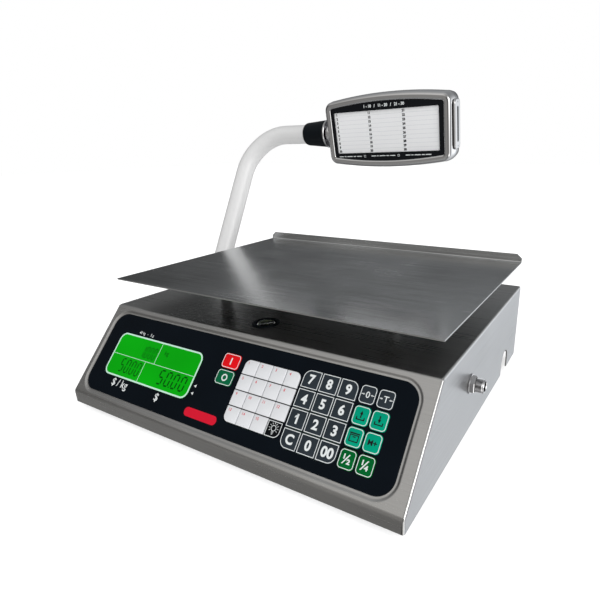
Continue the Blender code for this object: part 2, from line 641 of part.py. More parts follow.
def swept_tube_mesh(route, outer, inner, sides=20):
    """Open tube along a route in the XZ plane."""
    shells = ([], [])
    for i, (x, z) in enumerate(route):
        before = route[max(i - 1, 0)]
        after = route[min(i + 1, len(route) - 1)]
        along = Vector((after[0] - before[0], 0, after[1] - before[1])).normalized()
        side = Vector((0, 1, 0))
        out = along.cross(side)
        for shell, radius in zip(shells, (outer, inner)):
            loop = []
            for k in range(sides):
                angle = 2 * math.pi * k / sides
                loop.append(Vector((x, 0, z)) + radius * (math.cos(angle) * side
                                                          + math.sin(angle) * out))
            shell.append(loop)
    return loft_mesh(shells[0] + shells[1][::-1], ring=True)


def make_tower(tower, mats):
    route = tube_route(TUBE_FOOT_X, COLLAR_X[1] - TUBE_INTO_COLLAR)
    tube = swept_tube_mesh(route, TUBE_R, TUBE_R - TUBE_WALL)
    place("tower_tube", tube, tower, (0, 0, 0), mats["white_paint"], smooth=True)
    bore = TUBE_R + GAP
    narrow, shoulder, wide = COLLAR_R
    start, end = COLLAR_X
    collar = [(bore, start), (bore, end), (wide, end), (shoulder, start + COLLAR_TAPER),
              (narrow, start)]
    place("tower_collar", lathe_mesh(collar, "X", 28), tower, (0, 0, TOWER_REACH),
          mats["black"], True)


def head_outline(inset, steps=4, bow_steps=8):
    """(x, z) outline of the head: straight ends, bowed top and bottom, rounded corners."""
    radius = max(HEAD_CORNER - inset, 3 * MM)
    half_w = 0.5 * HEAD_W - inset
    half_h = 0.5 * HEAD_H - inset
    reach = half_w - radius
    points = []
    for quarter, (sx, sz) in enumerate(((1, 1), (-1, 1), (-1, -1), (1, -1))):
        for k in range(steps + 1):
            angle = 0.5 * math.pi * (quarter + k / steps)
            points.append((sx * reach + radius * math.cos(angle),
                           sz * (half_h - radius) + radius * math.sin(angle)))
        if quarter in (0, 2):
            for k in range(1, bow_steps):
                x = sx * reach * (1 - 2 * k / bow_steps)
                points.append((x, sz * (half_h + HEAD_BOW * (1 - (x / reach) ** 2))))
    return points


def shell_mesh(side):
    """Half of the head's case, on the side y * side > 0, with a window opening in its face."""
    deep = HEAD_HALF_DEPTH
    section = ((0, 0.2 * MM), (0.6 * MM, 0.5 * deep), (1.6 * MM, deep - 4 * MM),
               (3 * MM, deep - 1.2 * MM), (4.6 * MM, deep),
               (FASCIA_INSET, deep), (FASCIA_INSET, deep - 1.5 * MM),
               (HEAD_WALL + 2 * MM, deep - 1.5 * MM), (HEAD_WALL, deep - 5 * MM),
               (HEAD_WALL, 0.2 * MM))
    loops = [[(x, side * y, z) for x, z in head_outline(inset)] for inset, y in section]
    return loft_mesh(loops, ring=True)


def face_plate_mesh(side, inset, near, thick):
    """Plate with the head's outline, its outer face at the given depth."""
    outline = head_outline(inset)
    return loft_mesh([[(x, side * y, z) for x, z in outline] for y in (near, near - thick)])


def make_head_faces(case, mats):
    """Fascia with the memory card behind it, and the customer's window and display."""
    front, rear = -1, 1
    seat = HEAD_HALF_DEPTH - HEAD_PLATE - GAP
    behind = seat - HEAD_PLATE - GAP
    fascia = place("head_fascia", face_plate_mesh(front, HEAD_PLATE_INSET, seat, HEAD_PLATE), case,
                   (0, 0, 0), mats["face"])
    card_w, card_h = CARD
    window = box_mesh((card_w, CUT_REACH, card_h))
    boolean(fascia, place("cut_card", window, case, (CARD_SHIFT, -seat, 0)))
    margin_x, margin_z = CARD_MARGIN
    place("memory_card", box_mesh((card_w + margin_x, CARD_THICK, card_h + margin_z)), case,
          (CARD_SHIFT, 0.5 * CARD_THICK - behind, 0), mats["card"])
    place("customer_window", face_plate_mesh(rear, HEAD_PLATE_INSET, seat, HEAD_PLATE), case,
          (0, 0, 0), mats["window"])
    place("customer_display", box_mesh(CUSTOMER_DISPLAY), case,
          (0, behind - 0.5 * CUSTOMER_DISPLAY[1], 0), mats["display"])


def make_end_cap(case, chrome):
    """Plate on the head's right end with an upright slot in it."""
    width, height, thick = END_CAP
    cap = plate_mesh(width, height, 0, thick, END_CAP_CORNER, edge=END_CAP_EDGE)
    cap.transform(Matrix.Rotation(math.pi / 2, 4, "Y") @ Matrix.Rotation(math.pi / 2, 4, "Z"))
    cap_place = (0.5 * HEAD_W + GAP, 0, END_CAP_RISE)
    end_cap = place("head_end_cap", cap, case, cap_place, chrome)
    slot_w, slot_h, slot_depth = END_SLOT
    slot = box_mesh((2 * slot_depth, slot_w, slot_h), (thick, 0, 0))
    boolean(end_cap, place("cut_slot", slot, case, cap_place))


def make_head(head, case, mats):
    """Two chrome shells with their faces and end cap, and the swivel between collar and shells."""
    place("head_front_shell", shell_mesh(-1), case, (0, 0, 0), mats["chrome"], True)
    place("head_rear_shell", shell_mesh(1), case, (0, 0, 0), mats["chrome"], True)
    make_head_faces(case, mats)
    make_end_cap(case, mats["chrome"])
    ring, neck = SWIVEL_R
    thick, chamfer = SWIVEL_RING
    start = COLLAR_X[1] + GAP
    left_end = HEAD_X - 0.5 * HEAD_W - 2 * GAP
    swivel = [(0, 0), (ring, start), (ring, start + thick), (neck, start + thick + chamfer),
              (neck, left_end), (0, 0)]
    place("head_swivel", lathe_mesh(swivel, "X", 28), head, (0, 0, 0), mats["chrome"], True)


def make_materials():
    return {
        "steel": material("stainless", (0.56, 0.56, 0.55), 0.35, 1.0),
        "tray_steel": material("tray_stainless", (0.62, 0.62, 0.61), 0.22, 1.0),
        "chrome": material("chrome", (0.78, 0.78, 0.79), 0.08, 1.0),
        "aluminium": material("aluminium", (0.70, 0.71, 0.72), 0.4, 1.0),
        "casting": material("cast_frame", (0.25, 0.26, 0.27), 0.5, 0.6),
        "rubber": material("rubber", (0.03, 0.03, 0.03), 0.8),
        "black": material("black_plastic", (0.02, 0.02, 0.022), 0.45),
        "face": material("face_black", (0.01, 0.014, 0.02), 0.25),
        "window": material("clear_window", (0.10, 0.35, 0.12), 0.08),
        "vial": material("level_vial", (0.5, 0.6, 0.3), 0.05),
        "display": material("display_green", (0.05, 0.6, 0.05), 0.3),
        "board": material("circuit_board", (0.03, 0.22, 0.08), 0.5),
        "battery": material("battery_case", (0.08, 0.08, 0.09), 0.5),
        "card": material("paper_card", (0.88, 0.89, 0.9), 0.8),
        "white_paint": material("white_paint", (0.8, 0.8, 0.79), 0.35),
        "key_on": material("key_red", (0.75, 0.02, 0.02), 0.4),
        "key_off": material("key_green", (0.01, 0.22, 0.08), 0.4),
        "key_number": material("key_grey", (0.05, 0.06, 0.07), 0.4),
        "key_memory": material("key_teal", (0.0, 0.33, 0.24), 0.4),
        "key_fraction": material("key_dark_green", (0.0, 0.16, 0.06), 0.4),
        "key_light": material("key_black", (0.01, 0.01, 0.012), 0.4),
        "key_white": material("key_white", (0.85, 0.85, 0.85), 0.45),
    }


def main():
    for obj in list(bpy.data.objects):
        bpy.data.objects.remove(obj, do_unlink=True)
    mats = make_materials()
    root = empty("scale", location=(-ORIGIN_X, -ORIGIN_Y, FOOT_REACH))
    panel = empty("panel_plane", root, (0, 0, LIP_Z), (SLOPE_ANGLE, 0, 0))
    tower = empty("tower_swing", root, tower_hole_centre(), (-TOWER_LEAN, 0, 0))
    head = empty("head_tilt", tower, (0, 0, TOWER_REACH), (TOWER_LEAN + HEAD_TILT, 0, 0))
    case = empty("head_case", head, (HEAD_X, 0, HEAD_RISE), (0, -HEAD_ROLL, 0))
    make_housing(root, panel, mats["steel"])
    make_base(root, mats["steel"])
    make_inside(root, mats)
    make_load_cell(root, mats["aluminium"])
    make_spider(root, mats, TRAY_TOP - TRAY_SHEET - GAP)
    make_tray(root, mats["tray_steel"])
    make_feet(root, mats)
    make_panel(panel, mats)
    make_level(root, mats)
    make_socket(root, mats["chrome"])
    make_tower_mount(root, mats)
    make_tower(tower, mats)
    make_head(head, case, mats)
    bpy.context.view_layer.update()


main()
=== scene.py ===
"""Retail price scale: the visual model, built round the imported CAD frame. Lengths are in metres.

Positions come from the frame's node boxes and joints.  Flat artwork is drawn in the plane of the
keypad face, and the display head in its own tilted frame.
"""

import json
import math

import bmesh
import bpy
from mathutils import Matrix, Vector


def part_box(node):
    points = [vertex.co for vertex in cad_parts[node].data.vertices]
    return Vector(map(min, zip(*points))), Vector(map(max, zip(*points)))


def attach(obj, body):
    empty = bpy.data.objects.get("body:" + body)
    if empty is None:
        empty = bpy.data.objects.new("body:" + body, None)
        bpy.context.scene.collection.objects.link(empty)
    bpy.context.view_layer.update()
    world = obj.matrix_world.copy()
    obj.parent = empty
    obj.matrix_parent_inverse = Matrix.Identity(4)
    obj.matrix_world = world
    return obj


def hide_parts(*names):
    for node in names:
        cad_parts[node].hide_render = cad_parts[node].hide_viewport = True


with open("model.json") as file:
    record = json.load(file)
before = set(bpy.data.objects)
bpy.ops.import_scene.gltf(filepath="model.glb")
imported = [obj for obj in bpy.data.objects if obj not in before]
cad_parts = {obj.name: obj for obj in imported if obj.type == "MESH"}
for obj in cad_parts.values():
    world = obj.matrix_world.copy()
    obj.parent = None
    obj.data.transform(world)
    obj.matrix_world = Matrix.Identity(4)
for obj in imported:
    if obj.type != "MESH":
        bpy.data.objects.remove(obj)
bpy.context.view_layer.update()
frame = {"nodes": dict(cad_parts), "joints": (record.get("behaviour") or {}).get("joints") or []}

MM = 0.001
X_AXIS = Vector((1, 0, 0))
NODES = frame["nodes"]
JOINTS = {joint["name"]: joint for joint in frame["joints"]}
QUARTER_TURN = 0.5 * math.pi
ONTO_X = Matrix.Rotation(QUARTER_TURN, 3, "Y")                     # turns Z onto X

# Sheet steel
SHEET = 1.5 * MM
BEND = 2.2 * MM
BEND_STEPS = 6
TRAY_BEND = 3 * MM
RIM_CORNER = 6 * MM
NOTCH_Y = 278 * MM
NOTCH_W = 27.5 * MM
NOTCH_H = 26 * MM
HOLE_MARGIN = 2.5 * MM             # deck hole round a tray post's pad
LEVEL_SEAT = 2 * MM                # how far the level's ring covers the edge of its hole
SOCKET_HOLE = 6.3 * MM
BELOW = -10 * MM                   # how far the cutting tools reach past the housing
SLOPE_RECESS = 4.2 * MM            # width of the shallow dished edge round the face plate
RECESS_FLAT = 1.3 * MM             # flat bottom of that edge, next to the face plate
RECESS_DEPTH = 1.0 * MM
RECESS_STEPS = 8

# Printed artwork on the keypad face: thickness of the ink and line widths
INK = 0.04 * MM
GAP = 0.3 * MM
KEY_LINE = 0.55 * MM
KEY_HOLE_CORNER = 3 * MM
KEY_HOLE_DEPTHS = (-6 * MM, 3 * MM)
FACE_CORNER = 15 * MM
FACE_CHAMFER = (0.2 * MM, 0.15 * MM)  # width and depth of the face plate's worn edge
KEY_EDGE = 0.35 * MM
NUMBER_HEIGHT = 8 * MM
NUMBER_GLYPHS = {"clear": "C"}
LCD_RIM = 1.5 * MM
LCD_RULE = 0.45 * MM
LCD_CORNER = 8 * MM
LCD_RULE_Y = -0.4                  # height of the rule across, mm
LCD_RULE_X = (3, -9)               # places of the rules above and below it, mm
LCD_READOUTS = (                   # figures, lower left corner, width and height, mm
    ("1.000", (-21.5, 2.4), (22.5, 12.6)),
    ("50.00", (-42.5, -17.4), (32.5, 14.5)),
    ("50.00", (16, -17.6), (40, 15)),
)

# Display head
HEAD_CORNER = 12 * MM
HEAD_BOW = 5 * MM
HEAD_WALL = 2.5 * MM
FASCIA_INSET = 9.5 * MM
CARD_COLUMNS = 3
CARD_ROWS = 10
CARD_NUMBER = 2.8 * MM
TITLE_HEIGHT = 3.5 * MM
DASHES = (6.5, 3, 8.5, 4, 7.5)     # lengths of the dashes in one group under the card, mm

# Camera and stage
CAMERA_PLACE = Vector((0.3092, -0.41764, 0.2563))
CAMERA_TURN = (math.radians(70.098), math.radians(0.884), math.radians(29.48))
CAMERA_SENSOR = 36.0
CAMERA_LENS = 27.726
CAMERA_SHIFT = (-0.1013, 0.024)
FLOOR_HALF = 6.0
SUN_ENERGY = 1.95
SUN_SPREAD = math.radians(60)
SUN_DIRECTION = Vector((-0.68, 0.38, -0.62))
AMBIENT = 0.46
WARM_FRONT = (1.03, 1.0, 0.96)
COOL_BACK = (0.97, 1.0, 1.03)
STUDIO_LEVELS = (                          # height of the direction, brightness
    (-1.0, 0.20), (-0.6, 0.11), (-0.2, 0.09), (0.0, 0.015), (0.12, 0.01), (0.28, 0.04),
    (0.5, 0.26), (0.7, 0.30), (1.0, 0.5),
)
STUDIO_LOBES = (                           # direction, sharpness, brightness
    ((0.30, 0.72, -0.62), 7.0, 0.74),      # behind right and low, on the right wall
    ((0.52, 0.85, 0.03), 18.0, 1.5),       # behind right, on the head's end cap
    ((0.92, -0.30, 0.25), 20.0, 6.0),      # right, on the folded edges and the head's end
    ((0.75, -0.3, -0.58), 12.0, 2.0),      # right and low, on the front corner
    ((-0.25, -0.75, 0.61), 8.0, 0.44),     # front, on the slope's right end
    ((-0.40, 0.88, 0.25), 9.0, 0.12),      # behind left, on the tray
    ((-0.85, -0.38, -0.37), 6.0, 0.14),    # front left and low, on the lip's left end
    ((-0.2, -0.97, -0.12), 6.0, 0.20),     # front, on the tray's rim
)
TEXT_DIGIT = 0.73                          # height of a digit in the built-in typeface, at size 1


# ---------------------------------------------------------------- frames

def axes(origin, x, y, z):
    """Matrix of a local frame from its origin and its three unit axes."""
    matrix = Matrix((x, y, z)).transposed().to_4x4()
    matrix.translation = origin
    return matrix


def local_box(node, matrix):
    """Lowest and highest corner of a CAD node in a local frame."""
    inverse = matrix.inverted()
    points = [inverse @ vertex.co for vertex in NODES[node].data.vertices]
    low = Vector([min(p[i] for p in points) for i in range(3)])
    high = Vector([max(p[i] for p in points) for i in range(3)])
    return low, high


def middle_and_size(box):
    low, high = box
    return (low + high) / 2, high - low


def centre_and_size(node, matrix):
    return middle_and_size(local_box(node, matrix))


def panel_frame():
    """Origin at the face plate's middle, on the slope's outer surface; X right, Y up the slope."""
    out = -Vector(JOINTS["key_on_press"]["axis"]).normalized()
    low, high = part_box("face_panel")
    middle = (low + high) / 2
    level = max(out.dot(vertex.co) for vertex in NODES["housing_cover"].data.vertices)
    return axes(middle + (level - out.dot(middle)) * out, X_AXIS, out.cross(X_AXIS), out)


def head_frame():
    """Origin in the middle of the display head; X right, Y to its back, Z up the head."""
    card = NODES["memory_card"].data
    widest = max(card.polygons, key=lambda polygon: polygon.area)
    back = widest.normal * (1 if widest.normal.y > 0 else -1)
    corners = [card.vertices[i].co for i in widest.vertices]
    sides = sorted((corners[i] - corners[i - 1] for i in range(3)), key=lambda side: side.length)
    right = sides[1].normalized()                  # the triangle's longest side is a diagonal
    right = right * (1 if right.x > 0 else -1)
    turn = axes(Vector(), right, back, right.cross(back))
    front_low, front_high = local_box("head_front_shell", turn)
    rear_low, _ = local_box("head_rear_shell", turn)
    middle = (front_low + front_high) / 2
    middle.y = (front_high.y + rear_low.y) / 2
    return axes(turn @ middle, right, back, right.cross(back))


def tower_frame():
    """Origin at the tower's hinge, Z along the leaning tube."""
    foot = Vector(JOINTS["tower_swing"]["pos_m"])
    top = Vector(JOINTS["head_tilt"]["pos_m"])
    along = Vector((0, top.y - foot.y, top.z - foot.z)).normalized()
    return axes(foot, X_AXIS, along.cross(X_AXIS), along)


PANEL = panel_frame()
HEAD = head_frame()
TOWER = tower_frame()
HOUSING_LOW, HOUSING_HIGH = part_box("housing_cover")
HOUSING = Matrix.Translation(HOUSING_LOW)
HOUSING_SIZE = HOUSING_HIGH - HOUSING_LOW
SLOPE_ANGLE = math.atan2(PANEL.col[1].z, PANEL.col[1].y)
FACE_SIZE = centre_and_size("face_panel", PANEL)[1]
FACE_TOP = local_box("face_panel", PANEL)[1].z


# ---------------------------------------------------------------- mesh tools

def rounded_rectangle(width, height, corners, steps=8, centre=(0, 0)):
    """Points round a rectangle; corners are radii: right top, left top, left bottom, right bottom."""
    if not isinstance(corners, (tuple, list)):
        corners = (corners,) * 4
    points = []
    signs = ((1, 1), (-1, 1), (-1, -1), (1, -1))
    for quarter, ((sx, sy), radius) in enumerate(zip(signs, corners)):
        cx = centre[0] + sx * (0.5 * width - radius)
        cy = centre[1] + sy * (0.5 * height - radius)
        for k in range(steps + 1):
            angle = QUARTER_TURN * (quarter + k / steps)
            points.append((cx + radius * math.cos(angle), cy + radius * math.sin(angle)))
    return points


def circle(radius, steps=32, centre=(0, 0)):
    return [(centre[0] + radius * math.cos(2 * math.pi * k / steps),
             centre[1] + radius * math.sin(2 * math.pi * k / steps)) for k in range(steps)]


def at_height(outline, z):
    return [(x, y, z) for x, y in outline]


def mm(values):
    """Metres from millimetres."""
    return tuple(value * MM for value in values)


def ink(level):
    """Bottom and top of a printed layer on a surface at this level."""
    return level - INK, level + INK


def from_edge(radius, points):
    """Profile from points in mm: how far inwards from a radius, and height."""
    return [(radius - inwards * MM, height * MM) for inwards, height in points]


def thread(root, crest, start, length, turns, offset=0.0):
    """Profile of a screw thread, drawn as a stack of ridges."""
    points = []
    for k in range(turns):
        z = start + length * k / turns
        points += [(root, z + offset), (crest, z + 0.5 * length / turns)]
    return points


def to_mesh(name, bm):
    mesh = bpy.data.meshes.new(name)
    bm.to_mesh(mesh)
    bm.free()
    return mesh


def link(name, data):
    """New object in the scene."""
    obj = bpy.data.objects.new(name, data)
    bpy.context.scene.collection.objects.link(obj)
    return obj


def add_loft(bm, loops, index=0, ring=False):
    """Skin a stack of equal loops; a ring joins the last loop to the first, else ends are capped."""
    rows = [[bm.verts.new(p) for p in loop] for loop in loops]
    pairs = list(zip(rows, rows[1:]))
    if ring:
        pairs.append((rows[-1], rows[0]))
    faces = []
    for low, high in pairs:
        for i in range(len(low)):
            j = (i + 1) % len(low)
            faces.append(bm.faces.new((low[i], low[j], high[j], high[i])))
    if not ring:
        faces.append(bm.faces.new(rows[0]))
        faces.append(bm.faces.new(rows[-1]))
    for face in faces:
        face.material_index = index
    bmesh.ops.recalc_face_normals(bm, faces=faces)


def add_plate(bm, outline, low, high, index=0):
    add_loft(bm, [at_height(outline, low), at_height(outline, high)], index)


def add_ring(bm, outer, inner, low, high, index=0):
    add_loft(bm, [at_height(outer, low), at_height(outer, high),
                  at_height(inner, high), at_height(inner, low)], index, ring=True)


def add_bar(bm, centre, size, low, high, index=0, angle=0.0):
    """Flat bar, turned about its middle."""
    turn = Matrix.Rotation(angle, 2)
    corners = [Vector((sx * 0.5 * size[0], sy * 0.5 * size[1]))
               for sx, sy in ((1, 1), (-1, 1), (-1, -1), (1, -1))]
    outline = [tuple(Vector(centre) + turn @ corner) for corner in corners]
    add_plate(bm, outline, low, high, index)


def add_lathe(bm, profile, index=0, segments=48, turn=Matrix.Identity(3), centre=(0, 0, 0), solid=True):
    """Turn (radius, height) points about Z; without solid, the last point joins the first."""
    loops = [[turn @ Vector((x, y, height)) + Vector(centre) for x, y in circle(radius, segments)]
             for radius, height in profile]
    add_loft(bm, loops, index, ring=not solid)


def arc(centre, radius, start, end, steps):
    """Points on an arc from one angle to another, in degrees."""
    points = []
    for k in range(steps + 1):
        angle = math.radians(start + (end - start) * k / steps)
        points.append((centre[0] + radius * math.cos(angle), centre[1] + radius * math.sin(angle)))
    return points


def add_text(bm, text, height, centre, low, high, index=0, weight=0.0):
    """Flat lettering whose digits are this high; weight thickens the strokes."""
    curve = bpy.data.curves.new("lettering", "FONT")
    curve.body = text
    curve.align_x = "CENTER"
    curve.align_y = "CENTER"
    curve.offset = weight
    curve.resolution_u = 4
    curve.fill_mode = "FRONT"
    letters = link("lettering", curve)
    bpy.context.view_layer.update()
    graph = bpy.context.evaluated_depsgraph_get()
    flat = bpy.data.meshes.new_from_object(letters.evaluated_get(graph))
    bpy.data.objects.remove(letters)
    bpy.data.curves.remove(curve)
    ys = [v.co.y for v in flat.vertices]
    middle = (min(ys) + max(ys)) / 2
    scale = height / TEXT_DIGIT
    letter_bm = bmesh.new()
    letter_bm.from_mesh(flat)
    bpy.data.meshes.remove(flat)
    bmesh.ops.remove_doubles(letter_bm, verts=letter_bm.verts, dist=1e-5)
    for vertex in letter_bm.verts:
        vertex.co = Vector((centre[0] + vertex.co.x * scale,
                            centre[1] + (vertex.co.y - middle) * scale, high))
    solid = bmesh.ops.extrude_face_region(letter_bm, geom=letter_bm.faces[:])
    for vertex in [v for v in solid["geom"] if isinstance(v, bmesh.types.BMVert)]:
        vertex.co.z = low
    bmesh.ops.recalc_face_normals(letter_bm, faces=letter_bm.faces)
    for face in letter_bm.faces:
        face.material_index = index
    holder = to_mesh("lettering", letter_bm)
    bm.from_mesh(holder)
    bpy.data.meshes.remove(holder)


def piece(name, bm, mats, matrix, body, smooth=35, replaces=()):
    """Turn a bmesh into one named piece that rides on a CAD body."""
    mesh = to_mesh(name, bm)
    for mat in mats:
        mesh.materials.append(MATS[mat])
    obj = link(name, mesh)
    obj.matrix_world = matrix
    if smooth:
        mesh.shade_smooth()
        mesh.set_sharp_from_angle(angle=math.radians(smooth))
    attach(obj, body)
    if replaces:
        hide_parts(*replaces)
    return obj


def cutter(bm, matrix):
    tool = link("cutter", to_mesh("cutter", bm))
    tool.matrix_world = matrix
    return tool


def carve(obj, tools, smooth=35, bevel=None):
    """Cut tools out of a piece, make the result its mesh and take the tools away."""
    if bevel:
        rounding = obj.modifiers.new("bends", "BEVEL")
        rounding.width, rounding.segments = bevel
        rounding.limit_method = "ANGLE"
        rounding.angle_limit = math.radians(30)
    for tool in tools:
        cut = obj.modifiers.new("cut", "BOOLEAN")
        cut.operation = "DIFFERENCE"
        cut.solver = "EXACT"
        cut.object = tool
    bpy.context.view_layer.update()
    graph = bpy.context.evaluated_depsgraph_get()
    mesh = bpy.data.meshes.new_from_object(obj.evaluated_get(graph))
    obj.modifiers.clear()
    obj.data = mesh
    mesh.name = obj.name
    for tool in tools:
        bpy.data.objects.remove(tool)
    mesh.shade_smooth()
    mesh.set_sharp_from_angle(angle=math.radians(smooth))
    weighted = obj.modifiers.new("even shading", "WEIGHTED_NORMAL")
    weighted.keep_sharp = True
    weighted.weight = 100


# ---------------------------------------------------------------- materials

def principled(name, colour, roughness, metallic=0.0, **sockets):
    mat = bpy.data.materials.new(name)
    mat.use_nodes = True
    shader = mat.node_tree.nodes["Principled BSDF"]
    shader.inputs["Base Color"].default_value = (*colour, 1)
    shader.inputs["Roughness"].default_value = roughness
    shader.inputs["Metallic"].default_value = metallic
    for socket, value in sockets.items():
        shader.inputs[socket.replace("_", " ")].default_value = value
    return mat, shader


def connect(tree, value, socket):
    """Link an output to a socket, or set the socket to a number or colour."""
    if isinstance(value, bpy.types.NodeSocket):
        tree.links.new(value, socket)
    else:
        socket.default_value = value


def add_node(tree, kind, settings=None, **values):
    """Shader node with its settings and its inputs, named with _ for a space."""
    made = tree.nodes.new("ShaderNode" + kind)
    for name, value in (settings or {}).items():
        setattr(made, name, value)
    for name, value in values.items():
        connect(tree, value, made.inputs[name.replace("_", " ")])
    return made


def noise(tree, scale, stretch=(1, 1, 1), detail=3.0):
    """Noise over the piece's own coordinates; stretch multiplies the scale on each axis."""
    coords = add_node(tree, "TexCoord").outputs["Object"]
    placed = add_node(tree, "Mapping", Scale=stretch, Vector=coords).outputs["Vector"]
    texture = add_node(tree, "TexNoise", Scale=scale, Detail=detail, Roughness=0.55, Vector=placed)
    return texture.outputs["Fac"]


def spread(tree, value, low, high):
    """Map a noise value's middle range onto low to high."""
    node = add_node(tree, "MapRange", From_Min=0.3, From_Max=0.7, To_Min=low, To_Max=high, Value=value)
    return node.outputs["Result"]


def maths(tree, operation, first, second):
    node = add_node(tree, "Math", {"operation": operation})
    for socket, value in zip(node.inputs, (first, second)):
        connect(tree, value, socket)
    return node.outputs["Value"]


def mix_colour(tree, factor, first, second):
    node = add_node(tree, "Mix", {"data_type": "RGBA"}, Factor=factor, A=(*first, 1), B=(*second, 1))
    return node.outputs["Result"]


def emboss(tree, shader, height, distance):
    node = add_node(tree, "Bump", Strength=1.0, Distance=distance, Height=height)
    tree.links.new(node.outputs["Normal"], shader.inputs["Normal"])


def finish(name, colour, roughness, metallic=0.0, vary=0.12, grain=900.0, stretch=(1, 1, 1),
           patch=18.0, relief=0.01 * MM, **sockets):
    """Material with a fine grain and a broad patchiness in its colour, gloss and surface."""
    low, high = roughness
    mat, shader = principled(name, colour, 0.5 * (low + high), metallic, **sockets)
    tree = mat.node_tree
    fine = noise(tree, grain, stretch, detail=4.0)
    broad = noise(tree, patch, detail=2.0)
    both = maths(tree, "ADD", maths(tree, "MULTIPLY", fine, 0.55), maths(tree, "MULTIPLY", broad, 0.45))
    dark = tuple(c * (1 - vary) for c in colour)
    light = tuple(min(1.0, c * (1 + vary)) for c in colour)
    tree.links.new(mix_colour(tree, spread(tree, both, 0, 1), dark, light), shader.inputs["Base Color"])
    tree.links.new(spread(tree, both, low, high), shader.inputs["Roughness"])
    if relief:
        emboss(tree, shader, fine, relief)
    return mat


def brushed(name, colour, roughness, along, relief=0.004 * MM, vary=0.1):
    """Steel with long fine brush marks along one axis of the piece's own frame."""
    stretch = tuple(0.012 if axis == along else 1.0 for axis in "XYZ")
    return finish(name, colour, roughness, metallic=1.0, vary=vary, grain=700.0, stretch=stretch,
                  patch=9.0, relief=relief)


def glow(name, colour, strength, roughness=0.2):
    """Backlit display: a little brighter in some places than in others, under a clear gloss."""
    mat, shader = principled(name, tuple(0.03 * c for c in colour), roughness, Specular_IOR_Level=0.06)
    tree = mat.node_tree
    level = spread(tree, noise(tree, 14.0, detail=1.0), 0.86, 1.08)
    scaled = add_node(tree, "Mix", {"data_type": "RGBA", "blend_type": "MULTIPLY"}, Factor=1.0,
                      A=(*colour, 1), B=level)
    tree.links.new(scaled.outputs["Result"], shader.inputs["Emission Color"])
    shader.inputs["Emission Strength"].default_value = strength
    return mat


def film(name, colour, vary=0.08, roughness=(0.28, 0.4), grain=1800.0):
    """Printed plastic film of the keypad: matt, with hardly any mirror shine."""
    return finish(name, colour, roughness, vary=vary, grain=grain, relief=0.004 * MM,
                  Specular_IOR_Level=0.05)


INKS = {                           # colour and how much it varies
    "white_ink": ((0.74, 0.77, 0.77), 0.04), "mint_ink": ((0.56, 0.80, 0.68), 0.05),
    "red_ink": ((0.62, 0.010, 0.03), 0.06), "dark_ink": ((0.012, 0.014, 0.016), 0.1),
}
KEY_FILMS = {
    "key_red": ((0.72, 0.006, 0.010), 0.06), "key_green": ((0.002, 0.115, 0.045), 0.08),
    "key_grey": ((0.026, 0.034, 0.042), 0.1), "key_black": ((0.004, 0.005, 0.006), 0.2),
    "key_teal": ((0.0, 0.32, 0.19), 0.06), "key_dark_green": ((0.0, 0.115, 0.022), 0.08),
    "key_white": ((0.72, 0.73, 0.75), 0.03),
}


def make_metals():
    return {
        "steel": brushed("brushed_steel", (0.52, 0.52, 0.515), (0.24, 0.34), "X"),
        # Side walls: the same steel as the top, brush marks along Y, painted lighter and bluer to stand in
        # for the light falling on the walls
        "steel_side_painted_lighter": brushed("brushed_steel_side", (0.55, 0.56, 0.575), (0.26, 0.38), "Y", vary=0.14),
        "tray": brushed("tray_steel", (0.55, 0.56, 0.565), (0.15, 0.30), "X", relief=0.002 * MM,
                        vary=0.28),
        "edge": finish("sheet_edge", (0.42, 0.42, 0.41), (0.3, 0.45), 1.0, grain=1500.0),
        "chrome": finish("chrome_plate", (0.66, 0.66, 0.67), (0.03, 0.09), 1.0, vary=0.03,
                         grain=260.0, patch=22.0, relief=0.0015 * MM),
        "zinc": finish("zinc_plate_steel", (0.55, 0.56, 0.57), (0.35, 0.5), 1.0, grain=60.0, patch=30.0),
        "aluminium": finish("milled_aluminium", (0.70, 0.71, 0.72), (0.28, 0.42), 1.0,
                            stretch=(0.03, 1, 1)),
        "casting": finish("cast_metal", (0.22, 0.225, 0.23), (0.45, 0.6), 0.6, relief=0.03 * MM),
    }


def make_plastics():
    return {
        "white_paint": finish("white_powder_paint", (0.68, 0.68, 0.68), (0.28, 0.4), vary=0.03,
                              grain=520.0, relief=0.02 * MM),
        "rubber": finish("black_rubber", (0.018, 0.018, 0.019), (0.6, 0.8), grain=1100.0,
                         relief=0.03 * MM),
        "black": finish("black_moulding", (0.004, 0.006, 0.008), (0.32, 0.46), vary=0.2,
                        grain=1200.0, relief=0.015 * MM, Specular_IOR_Level=0.1),
        "face": film("face_film", (0.0022, 0.0042, 0.007), 0.3, (0.2, 0.3), 2200.0),
        "fascia": finish("fascia_gloss", (0.002, 0.003, 0.005), (0.05, 0.1), vary=0.2, grain=1500.0,
                         relief=0.001 * MM, Specular_IOR_Level=0.25),
        "card": finish("paper", (0.87, 0.875, 0.885), (0.6, 0.75), vary=0.03, grain=2400.0),
        "card_rule": finish("paper_rule", (0.55, 0.56, 0.60), (0.6, 0.75), vary=0.05, grain=2400.0),
        "screen": glow("display_backlight", (0.001, 0.40, 0.004), 0.92),
        "segment": film("display_segment", (0.0, 0.075, 0.002), 0.1),
        "liquid": finish("level_liquid", (0.16, 0.20, 0.08), (0.04, 0.08), vary=0.05, grain=300.0,
                         Coat_Weight=1.0),
        # Pale bubble: the bubble itself, its light colour partly a painted glint
        "bubble": finish("level_bubble_glint", (0.75, 0.78, 0.75), (0.03, 0.06), vary=0.03,
                         grain=300.0, Coat_Weight=1.0),
        "glass": principled("level_glass_dome", (0.95, 0.97, 0.95), 0.02, Transmission_Weight=1.0,
                            IOR=1.45)[0],
        "board": finish("circuit_board_green", (0.015, 0.14, 0.045), (0.35, 0.5), vary=0.2, grain=500.0),
        "battery": finish("battery_moulding", (0.06, 0.06, 0.068), (0.4, 0.55)),
    }


